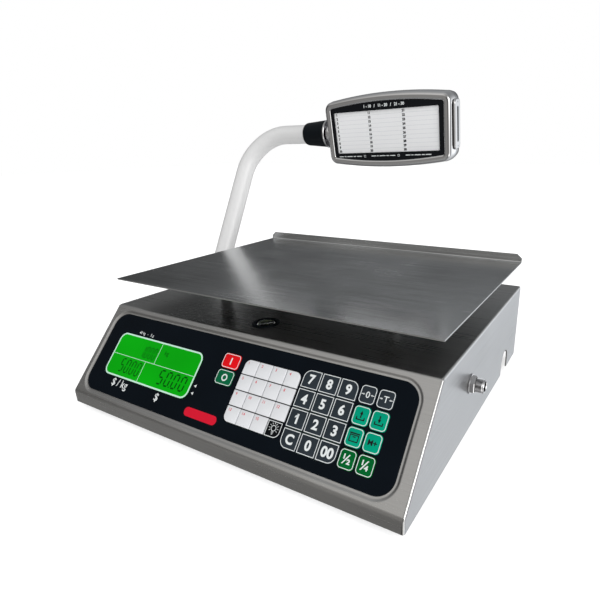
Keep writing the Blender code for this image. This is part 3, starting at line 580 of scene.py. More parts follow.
MATS = {**make_metals(), **make_plastics(),
        **{name: film(name, *look) for name, look in INKS.items()},
        **{name: film(f"{name}_film", *look) for name, look in KEY_FILMS.items()}}


# ---------------------------------------------------------------- housing

def slope_levels():
    """Height of the front lip and depth of the slope, from the slope's plane."""
    out = PANEL.col[2].to_3d()
    level = out.dot(PANEL.translation)
    lip = (level - out.y * HOUSING_LOW.y) / out.z - HOUSING_LOW.z
    run = (level - out.z * HOUSING_HIGH.z) / out.y - HOUSING_LOW.y
    return lip, run


def housing_outline(inset, floor):
    """(y, z) section of the housing, moved inwards by the inset and open down to the floor."""
    lip, run = slope_levels()
    half = 0.5 * (QUARTER_TURN - SLOPE_ANGLE)
    front = lip - inset * math.tan(half)
    deck_y = run + inset * math.tan(0.5 * SLOPE_ANGLE)
    depth, deck = HOUSING_SIZE.y, HOUSING_SIZE.z
    return [(inset, floor), (inset, front), (deck_y, deck - inset),
            (depth - inset, deck - inset), (depth - inset, floor)]


def add_prism_x(bm, outline, x0, x1, index=0):
    """Prism along X over a (y, z) outline."""
    add_loft(bm, [[(x, y, z) for y, z in outline] for x in (x0, x1)], index)


def round_tool(centre, radius, axis="Z"):
    reach = 3 * SHEET
    turn = {"Z": Matrix.Identity(3), "X": Matrix.Rotation(QUARTER_TURN, 3, "Y")}[axis]
    bm = bmesh.new()
    add_lathe(bm, [(radius, -reach), (radius, reach)], turn=turn, centre=centre)
    return cutter(bm, Matrix.Identity(4))


def notch_tool(x):
    radius = 0.5 * NOTCH_W
    outline = [(NOTCH_Y + radius, -4 * SHEET)]
    outline += arc((NOTCH_Y, NOTCH_H - radius), radius, 0, 180, 24)
    outline.append((NOTCH_Y - radius, -4 * SHEET))
    bm = bmesh.new()
    add_prism_x(bm, outline, x - 4 * SHEET, x + 4 * SHEET)
    return cutter(bm, HOUSING)


def panel_opening_tool():
    """Opening for the face plate with a shallow dished edge round it."""
    rise = SLOPE_RECESS - RECESS_FLAT
    profile = [(GAP, -4 * SHEET), (GAP, -RECESS_DEPTH)]
    for k in range(RECESS_STEPS + 1):
        t = k / RECESS_STEPS
        profile.append((RECESS_FLAT + rise * t, -0.5 * RECESS_DEPTH * (1 + math.cos(math.pi * t))))
    profile.append((SLOPE_RECESS + 0.1 * MM, 2 * SHEET))
    bm = bmesh.new()
    add_loft(bm, [at_height(rounded_rectangle(FACE_SIZE.x + 2 * grow, FACE_SIZE.y + 2 * grow,
                                              FACE_CORNER + grow, 12), z) for grow, z in profile])
    return cutter(bm, PANEL)


POST_ENDINGS = ("front_left", "front_right", "rear_left", "rear_right")


def shell_tools():
    """Tools that hollow the housing and trim it at the bottom."""
    bm = bmesh.new()
    add_prism_x(bm, housing_outline(SHEET, 2 * BELOW), SHEET, HOUSING_SIZE.x - SHEET)
    hollow = cutter(bm, HOUSING)
    bm = bmesh.new()
    y0, y1 = BELOW, HOUSING_SIZE.y - BELOW
    add_prism_x(bm, [(y0, 2 * BELOW), (y0, 0), (y1, 0), (y1, 2 * BELOW)], BELOW, HOUSING_SIZE.x - BELOW)
    return [hollow, cutter(bm, HOUSING)]


def deck_tools():
    """Holes in the deck for the tray's posts and for the level."""
    margins = {f"tray_pad_{ending}": HOLE_MARGIN for ending in POST_ENDINGS}
    margins["level_cup"] = -LEVEL_SEAT
    tools = []
    for node, margin in margins.items():
        middle, size = middle_and_size(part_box(node))
        tools.append(round_tool((middle.x, middle.y, HOUSING_HIGH.z), 0.5 * size.x + margin))
    return tools


def wall_tools():
    """Holes for the socket in the right wall and for the tower in the left one, and the notches."""
    socket = middle_and_size(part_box("charger_socket"))[0]
    flange = middle_and_size(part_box("tower_flange"))[0]
    tube = local_box("tower_tube", TOWER)
    return [round_tool((HOUSING_HIGH.x, socket.y, socket.z), SOCKET_HOLE, "X"),
            round_tool((HOUSING_LOW.x, flange.y, flange.z), 0.5 * (tube[1].y - tube[0].y) + GAP, "X"),
            notch_tool(HOUSING_SIZE.x), notch_tool(0)]


def make_housing():
    bm = bmesh.new()
    add_prism_x(bm, housing_outline(0, BELOW), 0, HOUSING_SIZE.x)
    cover = piece("housing_shell", bm, ["steel", "steel_side_painted_lighter", "edge"], HOUSING, "housing",
                  replaces=["housing_cover"])
    tools = shell_tools() + [panel_opening_tool()] + deck_tools() + wall_tools()
    carve(cover, tools, bevel=(BEND, BEND_STEPS))
    # Faces that point sideways get the side walls' steel, whose lighter, bluer colour is painted light
    for polygon in cover.data.polygons:
        if abs(polygon.normal.x) > 0.8:
            polygon.material_index = 1


def make_tray():
    """One sheet with its rear edge bent up and the rim's ends cut back."""
    low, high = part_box("tray")
    size = high - low
    outer, inner = TRAY_BEND, TRAY_BEND - SHEET
    y1, top = size.y, size.z
    section = [(0, 0)]
    section += arc((y1 - outer, outer), outer, -90, 0, 8)
    section += [(y1, top), (y1 - SHEET, top)]
    section += arc((y1 - outer, outer), inner, 0, -90, 8)
    section.append((0, SHEET))
    bm = bmesh.new()
    add_prism_x(bm, section, 0, size.x)
    place = Matrix.Translation(low)
    tray = piece("weighing_tray", bm, ["tray"], place, "tray", replaces=["tray"])
    tools = []
    for x, sx in ((0, 1), (size.x, -1)):
        bm = bmesh.new()
        triangle = [(x - sx * MM, top + MM), (x - sx * MM, top - RIM_CORNER),
                    (x + sx * (RIM_CORNER + MM), top + MM)]
        add_loft(bm, [[(px, y, pz) for px, pz in triangle] for y in (y1 - 3 * SHEET, y1 + 3 * SHEET)])
        tools.append(cutter(bm, place))
    carve(tray, tools, bevel=(0.25 * MM, 2))


# ---------------------------------------------------------------- keypad face

def key_tool(box, corner):
    """Hole in the face plate round a box, with a gap."""
    middle, size = middle_and_size(box)
    bm = bmesh.new()
    add_plate(bm, rounded_rectangle(size.x + 2 * GAP, size.y + 2 * GAP, corner, 6, middle),
              *KEY_HOLE_DEPTHS)
    return cutter(bm, PANEL)


BLOCK_CORNERS = {"7": (0, 1, 0, 0), "9": (1, 0, 0, 0), "clear": (0, 0, 1, 0), "00": (0, 0, 0, 1)}
NUMBER_KEYS = ("7", "8", "9", "4", "5", "6", "1", "2", "3", "clear", "0", "00")
FUNCTION_KEYS = {                  # film of the key and ink of its symbol
    "zero": ("key_grey", "white_ink"), "tare": ("key_grey", "white_ink"),
    "recall": ("key_teal", "dark_ink"), "store": ("key_teal", "dark_ink"),
    "pack": ("key_teal", "dark_ink"), "add": ("key_teal", "dark_ink"),
    "half": ("key_dark_green", "white_ink"), "quarter": ("key_dark_green", "white_ink"),
}
POWER_KEYS = {"on": ("key_red", "white_ink"), "off": ("key_green", "white_ink")}
NUMBER_CORNER = 7 * MM
FUNCTION_CORNER = 3.4 * MM
MEMORY_CORNER = 6 * MM
MEMORY_GRID = 4
MEMORY_LINE = 0.9 * MM
MEMORY_SEAT = -1.6 * MM            # height of the mat between the keys
MEMORY_NUMBER = 2.5 * MM
OUTER_CORNERS = {(0, 3): 0, (0, 0): 1, (3, 0): 2}      # row, column: which corner follows the mat's
BLOCK_NAMES = [f"key_{name}" for name in NUMBER_KEYS]


def joined_box(names):
    boxes = [local_box(name, PANEL) for name in names]
    low = Vector([min(b[0][i] for b in boxes) for i in range(3)])
    high = Vector([max(b[1][i] for b in boxes) for i in range(3)])
    return low, high


def make_face_plate():
    width, depth = FACE_CHAMFER
    outline = rounded_rectangle(FACE_SIZE.x, FACE_SIZE.y, FACE_CORNER, 16)
    inner = rounded_rectangle(FACE_SIZE.x - 2 * width, FACE_SIZE.y - 2 * width, FACE_CORNER - width, 16)
    low = local_box("face_panel", PANEL)[0].z
    bm = bmesh.new()
    add_loft(bm, [at_height(outline, low), at_height(outline, FACE_TOP - depth),
                  at_height(inner, FACE_TOP)])
    plate = piece("face_plate", bm, ["face"], PANEL, "housing", replaces=["face_panel"])
    tools = [key_tool(local_box("display_window", PANEL), LCD_CORNER + GAP),
             key_tool(joined_box(BLOCK_NAMES), NUMBER_CORNER + GAP),
             key_tool(joined_box(["memory_keypad", "key_light"]), MEMORY_CORNER + GAP)]
    tools += [key_tool(local_box(f"key_{name}", PANEL), KEY_HOLE_CORNER)
              for name in [*POWER_KEYS, *FUNCTION_KEYS]]
    carve(plate, tools)


def key_body(bm, width, height, low, high, corners, index=0, centre=(0, 0)):
    """Key with softly rounded top edges."""
    loops = []
    for inset, z in ((0, low), (0, high - KEY_EDGE), (0.3 * KEY_EDGE, high - 0.4 * KEY_EDGE),
                     (KEY_EDGE, high)):
        radii = [max(0.15 * MM, c - inset) for c in corners]
        loops.append(at_height(rounded_rectangle(width - 2 * inset, height - 2 * inset, radii, 8,
                                                 centre), z))
    add_loft(bm, loops, index)


def key_outline(bm, width, height, high, corners, line, index, inset=0.5 * MM):
    """Thin printed line near a key's edge."""
    radii = [max(0.2 * MM, c - inset) for c in corners]
    inner = [max(0.1 * MM, r - line) for r in radii]
    add_ring(bm, rounded_rectangle(width - 2 * inset, height - 2 * inset, radii, 8),
             rounded_rectangle(width - 2 * (inset + line), height - 2 * (inset + line), inner, 8),
             *ink(high), index)


def draw_arrow(bm, tip, direction, length, head, line, high, index):
    """Arrow from its tail to its tip."""
    along = Vector(direction).normalized()
    side = Vector((-along.y, along.x))
    tip = Vector(tip)
    middle = tip - along * (0.5 * (length + 0.5 * head))
    add_bar(bm, middle, (length - 0.5 * head, line), *ink(high), index, math.atan2(along.y, along.x))
    triangle = [tuple(tip), tuple(tip - along * head + side * 0.5 * head),
                tuple(tip - along * head - side * 0.5 * head)]
    add_plate(bm, triangle, *ink(high), index)


# Parts of a key's symbol, all in mm.  Each returns a function that draws it at a height.

def bar_mark(centre, size, angle=0.0):
    return lambda bm, high, index: add_bar(bm, mm(centre), mm(size), *ink(high), index, angle)


def ring_mark(outer, inner):
    return lambda bm, high, index: add_ring(bm, [mm(p) for p in outer], [mm(p) for p in inner],
                                            *ink(high), index)


def arrow_mark(tip, direction, length, head, line):
    return lambda bm, high, index: draw_arrow(bm, mm(tip), direction, *mm((length, head, line)), high, index)


def text_mark(text, height, weight):
    return lambda bm, high, index: add_text(bm, text, height * MM, (0, 0), *ink(high), index, weight)


def number_marks(text):
    """Key number; the typeface's 1 is a plain stroke, so it gets a flag."""
    def draw_flag(bm, high, index):
        top = 0.5 * NUMBER_HEIGHT
        flag = [(0, top), (-0.62 * top, 0.45 * top), (-0.62 * top, 0.1 * top), (0, 0.5 * top)]
        add_plate(bm, flag, *ink(high), index)
    return [text_mark(text, NUMBER_HEIGHT / MM, 0.035)] + ([draw_flag] if text == "1" else [])


INWARD_ARROWS = [arrow_mark((side * 2.5, 0), (-side, 0), 3.0, 1.5, 0.55) for side in (-1, 1)]
TRAY_MARK = [bar_mark((0, -3.1), (7.4, 0.9))]
TRAY_MARK += [bar_mark((side * 3.25, -2.1), (0.9, 2.2)) for side in (-1, 1)]
LAMP_RAYS = [math.radians(-30 + 30 * k) for k in range(9)]
SYMBOLS = {
    "on": [bar_mark((0, 0), (1.3, 6.4))],
    "off": [ring_mark(circle(3.3), circle(2.1))],
    "zero": [text_mark("0", 5.2, 0.01), *INWARD_ARROWS],
    "tare": [text_mark("T", 5.2, 0.01), *INWARD_ARROWS],
    "recall": [*TRAY_MARK, arrow_mark((0, 3.9), (0, 1), 5.6, 2.8, 1.1)],
    "store": [*TRAY_MARK, arrow_mark((0, -1.9), (0, -1), 5.6, 2.8, 1.1)],
    "pack": [ring_mark(rounded_rectangle(8, 5.6, 0.4, 2, (0, -0.8)),
                       rounded_rectangle(6.4, 4.0, 0.2, 2, (0, -0.8))),
             bar_mark((0, 2.9), (8.8, 1.0)), bar_mark((0, 0.2), (2.6, 0.8))],
    "add": [text_mark("M+", 4.2, 0.03)],
    "half": [text_mark("½", 7.2, 0.02)],
    "quarter": [text_mark("¼", 7.2, 0.02)],
    "light": [ring_mark(circle(2.5, 28, (0, 0.9)), circle(2.0, 28, (0, 0.9))),
              *[bar_mark((0, -2.2 - 0.9 * k), (2.2 - 0.4 * k, 0.45)) for k in range(3)],
              *[bar_mark((4 * math.cos(a), 0.9 + 4 * math.sin(a)), (1.5, 0.4), a) for a in LAMP_RAYS]],
}


def make_key(name, mat, corners, marks, ink_name):
    """One separate key: body, printed outline and symbol in a single piece."""
    node = f"key_{name}"
    middle, size = centre_and_size(node, PANEL)
    low, high = local_box(node, PANEL)
    top = high.z - middle.z
    bm = bmesh.new()
    key_body(bm, size.x, size.y, low.z - middle.z, top, corners)
    key_outline(bm, size.x, size.y, top, corners, KEY_LINE, 1)
    for mark in marks:
        mark(bm, top, 2)
    return piece(f"{node}_top", bm, [mat, "white_ink", ink_name], PANEL @ Matrix.Translation(middle),
                 node, replaces=[node])


def make_keys():
    for name in NUMBER_KEYS:
        radii = [NUMBER_CORNER if big else 0.5 * MM for big in BLOCK_CORNERS.get(name, (0,) * 4)]
        make_key(name, "key_grey", radii, number_marks(NUMBER_GLYPHS.get(name, name)), "white_ink")
    for name, (mat, ink_name) in {**FUNCTION_KEYS, **POWER_KEYS}.items():
        make_key(name, mat, [FUNCTION_CORNER] * 4, SYMBOLS[name], ink_name)
    make_key("light", "key_black", [0.5 * MM] * 3 + [MEMORY_CORNER], SYMBOLS["light"], "white_ink")


def make_memory_keypad():
    """Fifteen white key tops on one mat, each with its number in its upper left corner."""
    low, high = joined_box(["memory_keypad", "key_light"])
    mat_low, mat_high = local_box("memory_keypad", PANEL)
    light_low, light_high = local_box("key_light", PANEL)
    pitch_x = (high.x - low.x) / MEMORY_GRID
    pitch_y = (high.y - low.y) / MEMORY_GRID
    notch = (light_low.x - GAP, light_high.y + GAP)
    r = MEMORY_CORNER
    outline = [(mat_high.x, notch[1])]
    outline += arc((mat_high.x - r, mat_high.y - r), r, 0, 90, 8)
    outline += arc((mat_low.x + r, mat_high.y - r), r, 90, 180, 8)
    outline += arc((mat_low.x + r, mat_low.y + r), r, 180, 270, 8)
    outline += [(notch[0], mat_low.y), notch]
    bm = bmesh.new()
    add_plate(bm, outline, mat_low.z, MEMORY_SEAT, 2)
    for number in range(MEMORY_GRID ** 2 - 1):
        row, column = divmod(number, MEMORY_GRID)
        x = low.x + (column + 0.5) * pitch_x
        y = high.y - (row + 0.5) * pitch_y
        radii = [0.4 * MM] * 4
        if (row, column) in OUTER_CORNERS:
            radii[OUTER_CORNERS[row, column]] = MEMORY_CORNER - 0.5 * MM
        key_body(bm, pitch_x - MEMORY_LINE, pitch_y - MEMORY_LINE, MEMORY_SEAT - 0.1 * MM, mat_high.z,
                 radii, 0, (x, y))
        add_text(bm, str(number + 1), MEMORY_NUMBER, (x - 0.22 * pitch_x, y + 0.26 * pitch_y),
                 *ink(mat_high.z), 1, 0.01)
    piece("memory_keys", bm, ["key_white", "red_ink", "dark_ink"], PANEL, "memory_keypad",
          replaces=["memory_keypad"])


SEGMENTS = {"0": "abcdef", "1": "bc", "5": "acdfg", "8": "abcdefg"}


def add_segment_digit(bm, char, corner, width, height, line, low, high, index, slant=0.08):
    """Seven segment digit with its lower left corner given; slant leans it to the right."""
    left, bottom = corner
    half = 0.5 * line
    x0, x1 = half, width - half
    y0, y1, y2 = half, 0.5 * height, height - half
    ends = {"a": ((x0, y2), (x1, y2)), "b": ((x1, y1), (x1, y2)), "c": ((x1, y0), (x1, y1)),
            "d": ((x0, y0), (x1, y0)), "e": ((x0, y0), (x0, y1)), "f": ((x0, y1), (x0, y2)),
            "g": ((x0, y1), (x1, y1))}
    for name in SEGMENTS[char]:
        start, end = Vector(ends[name][0]), Vector(ends[name][1])
        along = (end - start).normalized()
        side = Vector((-along.y, along.x)) * half
        start = start + along * 0.25 * line
        end = end - along * 0.25 * line
        outline = [start, start + along * half - side, end - along * half - side, end,
                   end - along * half + side, start + along * half + side]
        points = [(left + p.x + slant * p.y, bottom + p.y) for p in outline]
        add_plate(bm, points, low, high, index)


def add_readout(bm, text, corner, size, low, high, index):
    """Row of seven segment digits with decimal points, filling a given width and height."""
    width, height = size
    count = len(text.replace(".", ""))
    pitch = width / count
    line = min(0.11 * height, 0.16 * pitch)
    x = corner[0]
    for char in text:
        if char == ".":
            point = (x - 0.12 * pitch, corner[1] + 0.5 * line)
            add_bar(bm, point, (0.8 * line, 0.8 * line), low, high, index)
            continue
        add_segment_digit(bm, char, (x, corner[1]), 0.72 * pitch, height, line, low, high, index)
        x += pitch


def make_screen():
    """Green backlit display with its rim, rules and figures."""
    middle, size = centre_and_size("display_window", PANEL)
    low, high = local_box("display_window", PANEL)
    top = high.z
    layer = ink(top)
    bm = bmesh.new()
    outline = rounded_rectangle(size.x, size.y, LCD_CORNER, 12)
    add_plate(bm, outline, low.z, top)
    inner_w, inner_h = size.x - 2 * LCD_RIM, size.y - 2 * LCD_RIM
    add_ring(bm, outline, rounded_rectangle(inner_w, inner_h, LCD_CORNER - LCD_RIM, 12),
             top - INK, top + 2 * INK, 1)
    rule_y = LCD_RULE_Y * MM
    add_bar(bm, (0, rule_y), (inner_w, LCD_RULE), *layer, 1)
    for x, side in zip(mm(LCD_RULE_X), (1, -1)):
        reach = 0.5 * inner_h - side * rule_y
        add_bar(bm, (x, rule_y + side * 0.5 * reach), (LCD_RULE, reach), *layer, 1)
    for text, corner, room in LCD_READOUTS:
        add_readout(bm, text, mm(corner), mm(room), *layer, 2)
    add_text(bm, "kg", 4.6 * MM, mm((13.5, 12.5)), *layer, 2)
    piece("display_screen", bm, ["screen", "mint_ink", "segment"],
          PANEL @ Matrix.Translation((middle.x, middle.y, 0)), "housing",
          replaces=["display_window"])


LABELS = (("$ / kg", -30), ("$", 25.7))        # text under the display, and where along it, mm
LABEL_HEIGHT = 7.6 * MM
RATING_HEIGHT = 3.0 * MM
POINTERS = (-8, -15)                           # heights of the pointers beside the display, mm
STRIPE_SIZE = (39.5, 8.2)
STRIPE_PLACE = (85.7, -31.3)                   # from the display's middle, mm


def make_face_prints():
    """White marks and the red stripe printed on the face plate."""
    middle, size = centre_and_size("display_window", PANEL)
    layer = ink(FACE_TOP)
    bm = bmesh.new()
    for text, x in LABELS:
        add_text(bm, text, LABEL_HEIGHT, (middle.x + x * MM, middle.y - 0.5 * size.y - 6.5 * MM),
                 *layer, 0, 0.012)
    add_text(bm, "40 kg   -   5 g", RATING_HEIGHT, (middle.x - 26 * MM, middle.y + 0.5 * size.y + 3.4 * MM),
             *layer)
    x = middle.x + 0.5 * size.x + 5 * MM
    for rise in POINTERS:
        y = middle.y + rise * MM
        triangle = [(x - 1.6 * MM, y), (x + 1.2 * MM, y + 1.4 * MM), (x + 1.2 * MM, y - 1.4 * MM)]
        add_plate(bm, triangle, *layer)
    stripe = (middle.x + STRIPE_PLACE[0] * MM, middle.y + STRIPE_PLACE[1] * MM)
    add_plate(bm, rounded_rectangle(*mm(STRIPE_SIZE), 4 * MM, 8, stripe), *layer, 1)
    piece("face_prints", bm, ["white_ink", "red_ink"], PANEL, "housing", smooth=0)


# ---------------------------------------------------------------- fittings

# Profiles in mm: how far inwards from the ring's edge or from its bore, and height
LEVEL_RIM = ((2.3, -11), (2.3, 0.2), (0.2, 0.2), (0, 0.4), (0.1, 0.8), (0.5, 1.0))
LEVEL_LIP = ((-1.2, 1.2), (-0.4, 1.1), (0, 0.7), (0, -9.5))
LIQUID_TOP = -2.2 * MM
BUBBLE_R = 2.9 * MM
DOME_FOOT = -0.5 * MM
DOME_RISE = 2.2 * MM


def make_level():
    """Bubble level: ring in the deck, liquid with a circle and a bubble, and a glass dome."""
    middle, size = middle_and_size(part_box("level_cup"))
    radius = 0.5 * size.x
    base = Matrix.Translation((middle.x, middle.y, HOUSING_HIGH.z))
    inside = radius - 2.3 * MM - 1.5 * MM
    bm = bmesh.new()
    add_lathe(bm, from_edge(radius, LEVEL_RIM) + from_edge(inside, LEVEL_LIP), segments=64)
    piece("level_ring", bm, ["black"], base, "housing", replaces=["level_cup"])
    bm = bmesh.new()
    glass = inside - GAP
    add_lathe(bm, [(glass, -9.2 * MM), (glass, LIQUID_TOP)], 0, 64)
    add_ring(bm, circle(3.9 * MM, 48), circle(3.4 * MM, 48), *ink(LIQUID_TOP), 1)
    # Bubble, whose pale material is partly a painted glint
    bubble = [(BUBBLE_R, LIQUID_TOP)]
    bubble += [(BUBBLE_R * math.cos(a), LIQUID_TOP + 0.18 * MM * math.sin(a)) for a in (0.4, 0.8, 1.2)]
    add_lathe(bm, bubble, 3, 48, centre=(0.6 * MM, 0.4 * MM, 0))
    dome = [(glass, -2.0 * MM), (glass, DOME_FOOT)]
    dome += [(glass * math.cos(a), DOME_FOOT + DOME_RISE * math.sin(a))
             for a in (0.3, 0.6, 0.9, 1.2, 1.4, 1.5)]
    add_lathe(bm, dome, 2, 64)
    piece("level_bubble", bm, ["liquid", "dark_ink", "glass", "bubble"], base, "housing",
          smooth=50, replaces=["level_vial"])


WASHER = ((6.0, -9), (6.0, 0.3), (9.2, 0.3), (9.2, 1.2), (8.8, 1.5), (7, 1.5))     # radius, height, mm
NUT = ((8.9, 1.5), (8.9, 4.8), (8.4, 5.3), (7.5, 5.3), (7.5, 1.5))


def make_socket():
    """Round chrome fitting: washer, hexagon nut, threaded barrel with a pin inside."""
    low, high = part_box("charger_socket")
    middle = (low + high) / 2
    place = Matrix.Translation((HOUSING_HIGH.x, middle.y, middle.z)) @ Matrix.Rotation(QUARTER_TURN, 4, "Y")
    reach = high.x - HOUSING_HIGH.x
    start, end = 5.4 * MM, reach - 1.2 * MM
    profile = [mm(point) for point in WASHER]
    profile += thread(6.3 * MM, 6.9 * MM, start, end - start, 7)
    profile += [(6.4 * MM, end), (6.4 * MM, reach - 0.4 * MM), (6.1 * MM, reach), (5.4 * MM, reach),
                (5.0 * MM, reach - 0.4 * MM), (5.0 * MM, -8 * MM)]
    bm = bmesh.new()
    add_lathe(bm, profile, 0, 48, solid=False)
    add_loft(bm, [at_height(circle(radius * MM, 6), z * MM) for radius, z in NUT], 0, ring=True)
    add_lathe(bm, [(4.9 * MM, -8 * MM), (4.9 * MM, -2 * MM)], 1, 32)
    pin = [(1.1 * MM, -2 * MM), (1.1 * MM, reach - 3 * MM), (0.7 * MM, reach - 2.4 * MM)]
    add_lathe(bm, pin, 0, 24)
    piece("charger_inlet", bm, ["chrome", "black"], place, "housing",
          replaces=["charger_socket"])


# Profile in mm: how far inwards from the edge, and height
FOOT_RIM = ((1.5, 0), (0.4, 0.4), (0, 1.4), (0, 2.6), (0.5, 3.0), (0, 3.4), (0.2, 4.8), (1.0, 6.0),
            (2.2, 6.5))
FOOT_TOP = 6.6 * MM
STUD_FOOT = 7.4 * MM
STUD_R = (3.6 * MM, 4 * MM)        # root and crest of the thread


def make_feet():
    root, crest = STUD_R
    for ending in POST_ENDINGS:
        node = f"foot_{ending}"
        low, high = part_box(node)
        middle, size = middle_and_size((low, high))
        bm = bmesh.new()
        add_lathe(bm, from_edge(0.5 * size.x, FOOT_RIM) + [(crest, FOOT_TOP)], 0, 48)
        add_plate(bm, circle(6.5 * MM, 6), FOOT_TOP, STUD_FOOT, 1)
        stud = [(crest, FOOT_TOP)]
        stud += thread(root, crest, STUD_FOOT, size.z - STUD_FOOT - MM, 14, 0.02 * MM)
        stud += [(root, size.z - 0.6 * MM), (3 * MM, size.z)]
        add_lathe(bm, stud, 1, 24)
        piece(f"{node}_pad", bm, ["rubber", "zinc"], Matrix.Translation((middle.x, middle.y, low.z)),
              node, replaces=[node])


# ---------------------------------------------------------------- tower

def tube_route(x_foot, x_top, bend_foot, bend_top, outer_x, reach, steps=20):
    """Centre line in the tower's plane: in at the foot, up, and in again at the top."""
    points = [(x_foot, 0.0)]
    for cx, cz, radius, start in ((outer_x + bend_foot, bend_foot, bend_foot, -90),
                                  (outer_x + bend_top, reach - bend_top, bend_top, 180)):
        points += arc((cx, cz), radius, start, start - 90, steps)
    points.append((x_top, reach))
    return points


def add_tube(bm, route, outer, inner, sides=48, index=0):
    """Open tube along a route in the XZ plane."""
    shells = ([], [])
    side = Vector((0, 1, 0))
    for i, (x, z) in enumerate(route):
        before, after = route[max(i - 1, 0)], route[min(i + 1, len(route) - 1)]
        along = Vector((after[0] - before[0], 0, after[1] - before[1])).normalized()
        out = along.cross(side)
        for shell, radius in zip(shells, (outer, inner)):
            shell.append([Vector((x, 0, z)) + a * side + b * out for a, b in circle(radius, sides)])
    add_loft(bm, shells[0] + shells[1][::-1], index, ring=True)


BEND_R = (38 * MM, 62 * MM)        # centre line at the tower's foot and at its top
COLLAR_TAPER = 2.4 * MM
COLLAR_SHOULDER = 5 * MM
COLLAR_ROUND = 2.2 * MM


def make_pipe():
    """White tube; returns its radius and the height of its level part."""
    low, high = local_box("tower_tube", TOWER)
    radius = 0.5 * (high.y - low.y)
    reach = high.z - radius
    bm = bmesh.new()
    add_tube(bm, tube_route(pipe_foot(), high.x, *BEND_R, low.x + radius, reach), radius, radius - SHEET)
    piece("tower_pipe", bm, ["white_paint"], TOWER, "tower", smooth=50,
          replaces=["tower_tube"])
    return radius, reach


def make_sleeve(bore, reach):
    """Black collar that narrows towards the tube's bend."""
    low, high = local_box("tower_collar", TOWER)
    start, end = low.x, high.x
    big = 0.5 * (high.z - low.z)
    small = big - COLLAR_TAPER
    shoulder = start + COLLAR_SHOULDER
    profile = [(bore, start), (bore, end), (big - 0.6 * MM, end), (big, end - 0.8 * MM),
               (big - 0.1 * MM, end - 3 * MM), (small, shoulder)]
    for k in range(1, 7):
        angle = k * QUARTER_TURN / 6
        profile.append((small - COLLAR_ROUND * (1 - math.cos(angle)),
                        shoulder - COLLAR_SHOULDER * math.sin(angle)))
    bm = bmesh.new()
    add_lathe(bm, profile, 0, 64, ONTO_X, (0, 0, reach), solid=False)
    piece("tower_sleeve", bm, ["black"], TOWER, "tower", smooth=40,
          replaces=["tower_collar"])


def make_base_ring(bore):
    """Chrome ring where the tube enters the left wall."""
    low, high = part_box("tower_flange")
    middle = (low + high) / 2
    big = 0.5 * (high.y - low.y)
    deep = high.x - low.x
    profile = [(bore, 0), (bore, -deep), (bore + 2 * MM, -deep), (big - 2.5 * MM, -deep + 0.2 * MM),
               (big - 0.8 * MM, -deep + 0.9 * MM), (big, -deep + 1.8 * MM), (big, 0)]
    bm = bmesh.new()
    add_lathe(bm, profile, 0, 64, ONTO_X, solid=False)
    piece("tower_base_ring", bm, ["chrome"], Matrix.Translation((high.x, middle.y, middle.z)),
          "housing", smooth=50, replaces=["tower_flange"])


def make_tower():
    radius, reach = make_pipe()
    make_sleeve(radius + GAP, reach)
    make_base_ring(radius + GAP)


def pipe_foot():
    """X of the tube's inner end in the housing, in the tower's frame."""
    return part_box("tower_bearing")[1].x - TOWER.translation.x + MM


# ---------------------------------------------------------------- display head

HEAD_LOW, HEAD_HIGH = local_box("head_front_shell", HEAD)
HEAD_HALF_W = 0.5 * (HEAD_HIGH.x - HEAD_LOW.x)
HEAD_HALF_H = 0.5 * (HEAD_HIGH.z - HEAD_LOW.z) - HEAD_BOW
HEAD_DEPTH = -HEAD_LOW.y


def head_outline(inset, steps=10, bow_steps=24):
    """(x, z) outline of the head: straight ends, bowed top and bottom, rounded corners."""
    radius = max(HEAD_CORNER - inset, 3 * MM)
    half_w = HEAD_HALF_W - inset
    half_h = HEAD_HALF_H - inset
    reach = half_w - radius
    points = []
    for quarter, (sx, sz) in enumerate(((1, 1), (-1, 1), (-1, -1), (1, -1))):
        for k in range(steps + 1):
            angle = QUARTER_TURN * (quarter + k / steps)
            points.append((sx * reach + radius * math.cos(angle),
                           sz * (half_h - radius) + radius * math.sin(angle)))
        if quarter in (0, 2):
            for k in range(1, bow_steps):
                x = sx * reach * (1 - 2 * k / bow_steps)
                points.append((x, sz * (half_h + HEAD_BOW * (1 - (x / reach) ** 2))))
    return points


SHELL_ROUND = 4.4 * MM


def shell_loops(side):
    """Section of a shell as (inset, depth): outer wall, rounded rim, dip to the face, inside."""
    deep = HEAD_DEPTH
    section = [(0, 0.2 * MM), (0.1 * MM, 0.25 * deep), (0.4 * MM, 0.45 * deep), (0.9 * MM, 0.62 * deep)]
    for k in range(9):
        angle = math.radians(15 + 75 * k / 8)
        section.append((5.6 * MM - SHELL_ROUND * math.cos(angle),
                        deep - SHELL_ROUND + SHELL_ROUND * math.sin(angle)))
    section += [(7.6 * MM, deep - 0.1 * MM), (8.6 * MM, deep - 0.5 * MM), (9.2 * MM, deep - 1.0 * MM),
                (FASCIA_INSET, deep - 1.5 * MM), (HEAD_WALL + 2 * MM, deep - 1.6 * MM),
                (HEAD_WALL, deep - 5 * MM), (HEAD_WALL, 0.2 * MM)]
    return [[(x, side * y, z) for x, z in head_outline(inset)] for inset, y in section]


def make_head():
    for side, node, name in ((-1, "head_front_shell", "head_case_front"),
                             (1, "head_rear_shell", "head_case_rear")):
        bm = bmesh.new()
        add_loft(bm, shell_loops(side), 0, ring=True)
        piece(name, bm, ["chrome"], HEAD, "head", smooth=40, replaces=[node])
    make_fascia()
    make_card()
    make_customer_side()
    make_end_cap()
    make_swivel()


def plate_on_face(bm, outline, side, near, far, index=0):
    """Plate over an (x, z) outline between two depths on one side of the head."""
    add_loft(bm, [[(x, side * y, z) for x, z in outline] for y in (near, far)], index)


def face_tool(outline, side):
    bm = bmesh.new()
    plate_on_face(bm, outline, side, 0.2 * HEAD_DEPTH, 1.5 * HEAD_DEPTH)
    return cutter(bm, HEAD)


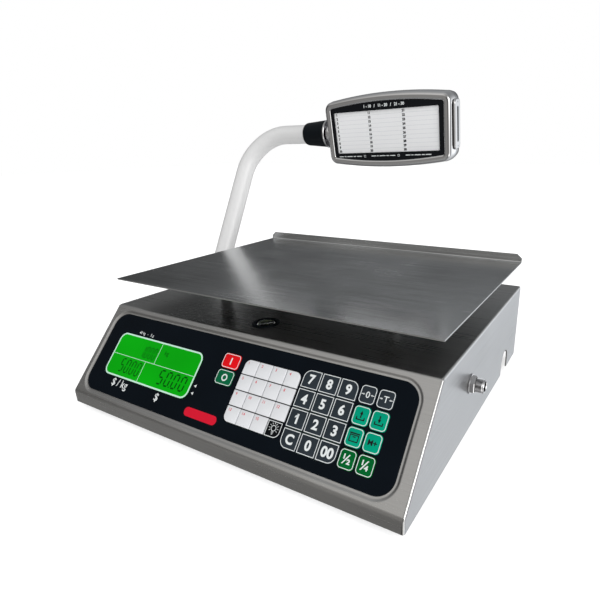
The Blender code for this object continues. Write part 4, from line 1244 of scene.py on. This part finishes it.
FRONT_PLANE = HEAD @ Matrix.Rotation(QUARTER_TURN, 4, "X")         # X right, Y up, Z to the front
REAR_PLANE = HEAD @ Matrix.Rotation(math.pi, 4, "Z") @ Matrix.Rotation(QUARTER_TURN, 4, "X")


def card_window():
    """Middle (x, z), width and height of the opening in front of the card."""
    middle, size = centre_and_size("memory_card", HEAD)
    return (middle.x, middle.z), size.x - 6 * MM, size.z - 5 * MM


PLATE_INSET = 6 * MM               # of the black plates in the head's two faces
TITLE_RISE = 5.4 * MM
MARKS_DROP = 4.2 * MM
GROUP_PITCH = 50                   # mm


def make_fascia():
    """Black front plate with the card's opening, column titles above and small marks below."""
    low, high = local_box("head_fascia", HEAD)
    near, far = -low.y, -high.y
    (x, z), width, height = card_window()
    bm = bmesh.new()
    plate_on_face(bm, head_outline(PLATE_INSET), -1, near, far)
    fascia = piece("head_front_plate", bm, ["fascia"], HEAD, "head",
                   replaces=["head_fascia"])
    carve(fascia, [face_tool(rounded_rectangle(width, height, 1.2 * MM, 4, (x, z)), -1)])
    bm = bmesh.new()
    layer = ink(near)
    add_text(bm, "1 - 10   /   11 - 20   /   21 - 30", TITLE_HEIGHT, (0, z + 0.5 * height + TITLE_RISE),
             *layer, 0, 0.045)
    y = z - 0.5 * height - MARKS_DROP
    for group in range(CARD_COLUMNS):
        left = x - 0.5 * width + (2 + GROUP_PITCH * group) * MM
        for dash in DASHES:
            add_bar(bm, (left + 0.5 * dash * MM, y), (dash * MM, 1.0 * MM), *layer)
            left += (dash + 1.4) * MM
        if group < CARD_COLUMNS - 1:
            box = (left + 3.6 * MM, y)
            add_ring(bm, rounded_rectangle(2.8 * MM, 2.8 * MM, 0.2 * MM, 2, box),
                     rounded_rectangle(2.0 * MM, 2.0 * MM, 0.1 * MM, 2, box), *layer)
    piece("head_front_prints", bm, ["white_ink"], FRONT_PLANE, "head", smooth=0)


def make_card():
    """Ruled paper card: columns of numbered rows."""
    low, high = local_box("memory_card", HEAD)
    (x, z), width, height = card_window()
    front, back = -low.y, -high.y
    bm = bmesh.new()
    add_plate(bm, rounded_rectangle(high.x - low.x, high.z - low.z, 1 * MM, 3, (x, z)), back, front)
    row_h = height / CARD_ROWS
    column_w = (width - 2 * MM) / CARD_COLUMNS
    top_y = z + 0.5 * height
    left = x - 0.5 * width + 1 * MM
    for row in range(1, CARD_ROWS):
        add_bar(bm, (x, top_y - row * row_h), (width - 4 * MM, 0.2 * MM), *ink(front), 1)
    number = 0
    for column in range(CARD_COLUMNS):
        for row in range(CARD_ROWS):
            number += 1
            place = (left + column * column_w + 2.6 * MM, top_y - (row + 0.5) * row_h)
            add_text(bm, str(number), CARD_NUMBER, place, *ink(front), 2, 0.07)
    piece("memory_list_card", bm, ["card", "card_rule", "dark_ink"], FRONT_PLANE,
          "head", replaces=["memory_card"])


def make_customer_side():
    """Rear face: black plate with a green display behind it."""
    low, high = local_box("customer_window", HEAD)
    screen_low, screen_high = local_box("customer_display", HEAD)
    width = screen_high.x - screen_low.x - 8 * MM
    height = screen_high.z - screen_low.z - 5 * MM
    rise = 0.5 * (screen_low.z + screen_high.z)
    bm = bmesh.new()
    plate_on_face(bm, head_outline(PLATE_INSET), 1, high.y, low.y)
    plate = piece("head_rear_plate", bm, ["fascia"], HEAD, "head",
                  replaces=["customer_window"])
    carve(plate, [face_tool(rounded_rectangle(width, height, 4 * MM, 6, (0, rise)), 1)])
    bm = bmesh.new()
    add_plate(bm, rounded_rectangle(width + 8 * MM, height + 5 * MM, 2 * MM, 3, (0, rise)),
              screen_low.y, screen_high.y)
    layer = ink(screen_high.y)
    add_bar(bm, (0, rise), (width, LCD_RULE), *layer, 1)
    add_bar(bm, (0, rise - 0.25 * height), (LCD_RULE, 0.5 * height), *layer, 1)
    for text, x, lift, room in (("1.000", -16 * MM, 0.08, 32), ("50.00", -0.5 * width + 10 * MM, -0.42, 36),
                                ("50.00", 12 * MM, -0.42, 36)):
        add_readout(bm, text, (x, rise + lift * height), (room * MM, 0.34 * height), *layer, 2)
    piece("customer_screen", bm, ["screen", "mint_ink", "segment"], REAR_PLANE, "head",
          replaces=["customer_display"])


def add_screw(bm, centre, radius, low, high, index, recess_shade_index):
    """Pan head with a cross recess shown by two dark bars of painted shade, in the XY plane."""
    x, y = centre
    profile = [(radius, low), (radius, low + 0.45 * (high - low)),
               (0.8 * radius, low + 0.85 * (high - low)), (0.45 * radius, high)]
    add_lathe(bm, profile, index, 24, centre=(x, y, 0))
    for angle in (0.4, 0.4 + QUARTER_TURN):
        add_bar(bm, centre, (1.1 * radius, 0.24 * radius), high - 2 * INK, high + INK, recess_shade_index, angle)


CAP_ROUND = ((0, 0), (0, 0.45), (0.35, 0.72), (1.0, 0.92), (2.0, 1.0))     # inset mm, share of thickness
CAP_CORNER = 6 * MM
SLOT_SIZE = (5, 41)
SCREW_Z = 25 * MM
SWIVEL_RIM = ((0.6, 0), (0, 0.5), (0, 2.0), (0.5, 2.5))
SWIVEL_NECK = ((13.5, 2.8), (12.4, 3.4), (12, 4.2))                        # radius and height, mm


def facing_right(low, middle):
    """Frame whose Z points to the head's right, from the left side of a node's box."""
    return axes(Vector((low.x, middle.y, middle.z)), Vector((0, 1, 0)), Vector((0, 0, 1)), X_AXIS)


def make_end_cap():
    """Chrome end cap with a slot and two screws; a black plate paints the shade at the slot's bottom."""
    low, high = local_box("head_end_cap", HEAD)
    middle, size = middle_and_size((low, high))
    place = HEAD @ facing_right(low, middle)
    bm = bmesh.new()
    add_loft(bm, [at_height(rounded_rectangle(size.y - 2 * inset * MM, size.z - 2 * inset * MM,
                                              CAP_CORNER - inset * MM, 10), share * size.x)
                  for inset, share in CAP_ROUND])
    cap = piece("head_side_cap", bm, ["chrome"], place, "head", smooth=50,
                replaces=["head_end_cap"])
    slot = rounded_rectangle(*mm(SLOT_SIZE), 2.4 * MM, 6)
    bm = bmesh.new()
    add_plate(bm, slot, size.x - 1.2 * MM, 2 * size.x)
    carve(cap, [cutter(bm, place)], smooth=40)
    # Black plate at the bottom of the slot: painted shade inside it
    bm = bmesh.new()
    add_plate(bm, slot, size.x - 1.4 * MM, size.x - 1.1 * MM)
    for sz in (-1, 1):
        add_screw(bm, (0, sz * SCREW_Z), 2.2 * MM, size.x - 0.6 * MM, size.x - 0.02 * MM, 1, 0)
    piece("head_slot_painted_shade_and_screws", bm, ["black", "zinc"], place, "head")


def make_swivel():
    """Bright joint between collar and head; it turns about X, without the head's roll."""
    back = HEAD.col[1].to_3d()
    level = axes(HEAD.translation, X_AXIS, back, X_AXIS.cross(back))
    low, high = local_box("head_swivel", level)
    middle = (low + high) / 2
    profile = from_edge(0.5 * (high.z - low.z), SWIVEL_RIM) + [mm(point) for point in SWIVEL_NECK]
    profile.append((12 * MM, high.x - low.x))
    bm = bmesh.new()
    add_lathe(bm, profile, 0, 64)
    piece("head_turning_joint", bm, ["chrome"], level @ facing_right(low, middle), "head",
          smooth=40, replaces=["head_swivel"])


# ---------------------------------------------------------------- carried-over CAD parts

CARRIED = {
    "base_plate": "zinc", "load_cell_foot_block": "aluminium", "load_cell": "aluminium",
    "main_board": "board", "battery": "battery", "panel_backplate": "zinc", "keypad_board": "board",
    "display_module": "board", "tower_bearing": "casting", "spider": "casting",
    **{f"tray_pad_{ending}": "rubber" for ending in POST_ENDINGS},
}


def dress_carried_parts():
    for node, mat in CARRIED.items():
        mesh = NODES[node].data
        mesh.materials.clear()
        mesh.materials.append(MATS[mat])


# ---------------------------------------------------------------- stage

def make_floor():
    mat, shader = principled("pale_floor", (0.86, 0.86, 0.86), 0.6, Specular_IOR_Level=0.0,
                             Emission_Color=(1, 1, 1, 1), Emission_Strength=0.55)
    tree = mat.node_tree
    level = spread(tree, noise(tree, 3.0, detail=2.0), 0, 1)
    tree.links.new(mix_colour(tree, level, (0.85, 0.85, 0.85), (0.87, 0.87, 0.87)),
                   shader.inputs["Base Color"])
    bm = bmesh.new()
    bm.faces.new([bm.verts.new((sx * FLOOR_HALF, sy * FLOOR_HALF, 0))
                  for sx, sy in ((-1, -1), (1, -1), (1, 1), (-1, 1))])
    mesh = to_mesh("floor", bm)
    mesh.materials.append(mat)
    floor = link("floor", mesh)
    floor.visible_glossy = False


def lobe(tree, coords, direction, sharpness, strength):
    """Soft bright patch of the studio round one direction."""
    dot = tree.nodes.new("ShaderNodeVectorMath")
    dot.operation = "DOT_PRODUCT"
    dot.inputs[1].default_value = Vector(direction).normalized()
    tree.links.new(coords, dot.inputs[0])
    near = maths(tree, "POWER", maths(tree, "MAXIMUM", dot.outputs["Value"], 0.0), sharpness)
    return maths(tree, "MULTIPLY", near, strength)


def from_signed(tree, value):
    """Map -1 to 1 onto 0 to 1."""
    return maths(tree, "ADD", maths(tree, "MULTIPLY", value, 0.5), 0.5)


def studio_reflection(tree, coords, split):
    """Brightness that glossy surfaces see in each direction."""
    ramp = add_node(tree, "ValToRGB", Fac=from_signed(tree, split.outputs["Z"]))
    while len(ramp.color_ramp.elements) < len(STUDIO_LEVELS):
        ramp.color_ramp.elements.new(0.5)
    for element, (height, level) in zip(ramp.color_ramp.elements, STUDIO_LEVELS):
        element.position = 0.5 + 0.5 * height
        element.color = (level, level, level, 1)
    total = ramp.outputs["Color"]
    for direction, sharpness, strength in STUDIO_LOBES:
        total = maths(tree, "ADD", lobe(tree, coords, direction, sharpness, strength), total)
    return total


def make_world():
    """White room for the camera, soft even light for matt surfaces, grey studio for reflections."""
    world = bpy.data.worlds.new("studio")
    bpy.context.scene.world = world
    world.use_nodes = True
    tree = world.node_tree
    background = tree.nodes["Background"]
    coords = add_node(tree, "TexCoord").outputs["Generated"]
    split = add_node(tree, "SeparateXYZ", Vector=coords)
    path = tree.nodes.new("ShaderNodeLightPath")
    parts = (("Is Glossy Ray", studio_reflection(tree, coords, split)), ("Is Diffuse Ray", AMBIENT),
             ("Is Camera Ray", 1.0), ("Is Transmission Ray", 0.5))
    seen = 0.0
    for ray, level in parts:
        seen = maths(tree, "ADD", maths(tree, "MULTIPLY", path.outputs[ray], level), seen)
    tree.links.new(seen, background.inputs["Strength"])
    side = from_signed(tree, split.outputs["Y"])
    tint = add_node(tree, "Mix", {"data_type": "RGBA"}, Factor=path.outputs["Is Glossy Ray"],
                    A=(1, 1, 1, 1), B=mix_colour(tree, side, WARM_FRONT, COOL_BACK))
    tree.links.new(tint.outputs["Result"], background.inputs["Color"])


def make_lights():
    sun = bpy.data.lights.new("soft_key", "SUN")
    sun.energy = SUN_ENERGY
    sun.angle = SUN_SPREAD
    key = link("soft_key", sun)
    key.rotation_euler = SUN_DIRECTION.to_track_quat("-Z", "Y").to_euler()
    key.visible_glossy = False


def make_camera():
    data = bpy.data.cameras.new("camera")
    data.sensor_width = CAMERA_SENSOR
    data.lens = CAMERA_LENS
    data.shift_x, data.shift_y = CAMERA_SHIFT
    data.clip_start = 0.01
    camera = link("camera", data)
    camera.location = CAMERA_PLACE
    camera.rotation_euler = CAMERA_TURN
    bpy.context.scene.camera = camera


make_camera()
make_housing()
make_tray()
make_face_plate()
make_keys()
make_memory_keypad()
make_screen()
make_face_prints()
make_level()
make_socket()
make_feet()
make_tower()
make_head()
dress_carried_parts()
make_floor()
make_world()
make_lights()
bpy.context.scene.view_settings.view_transform = "Standard"
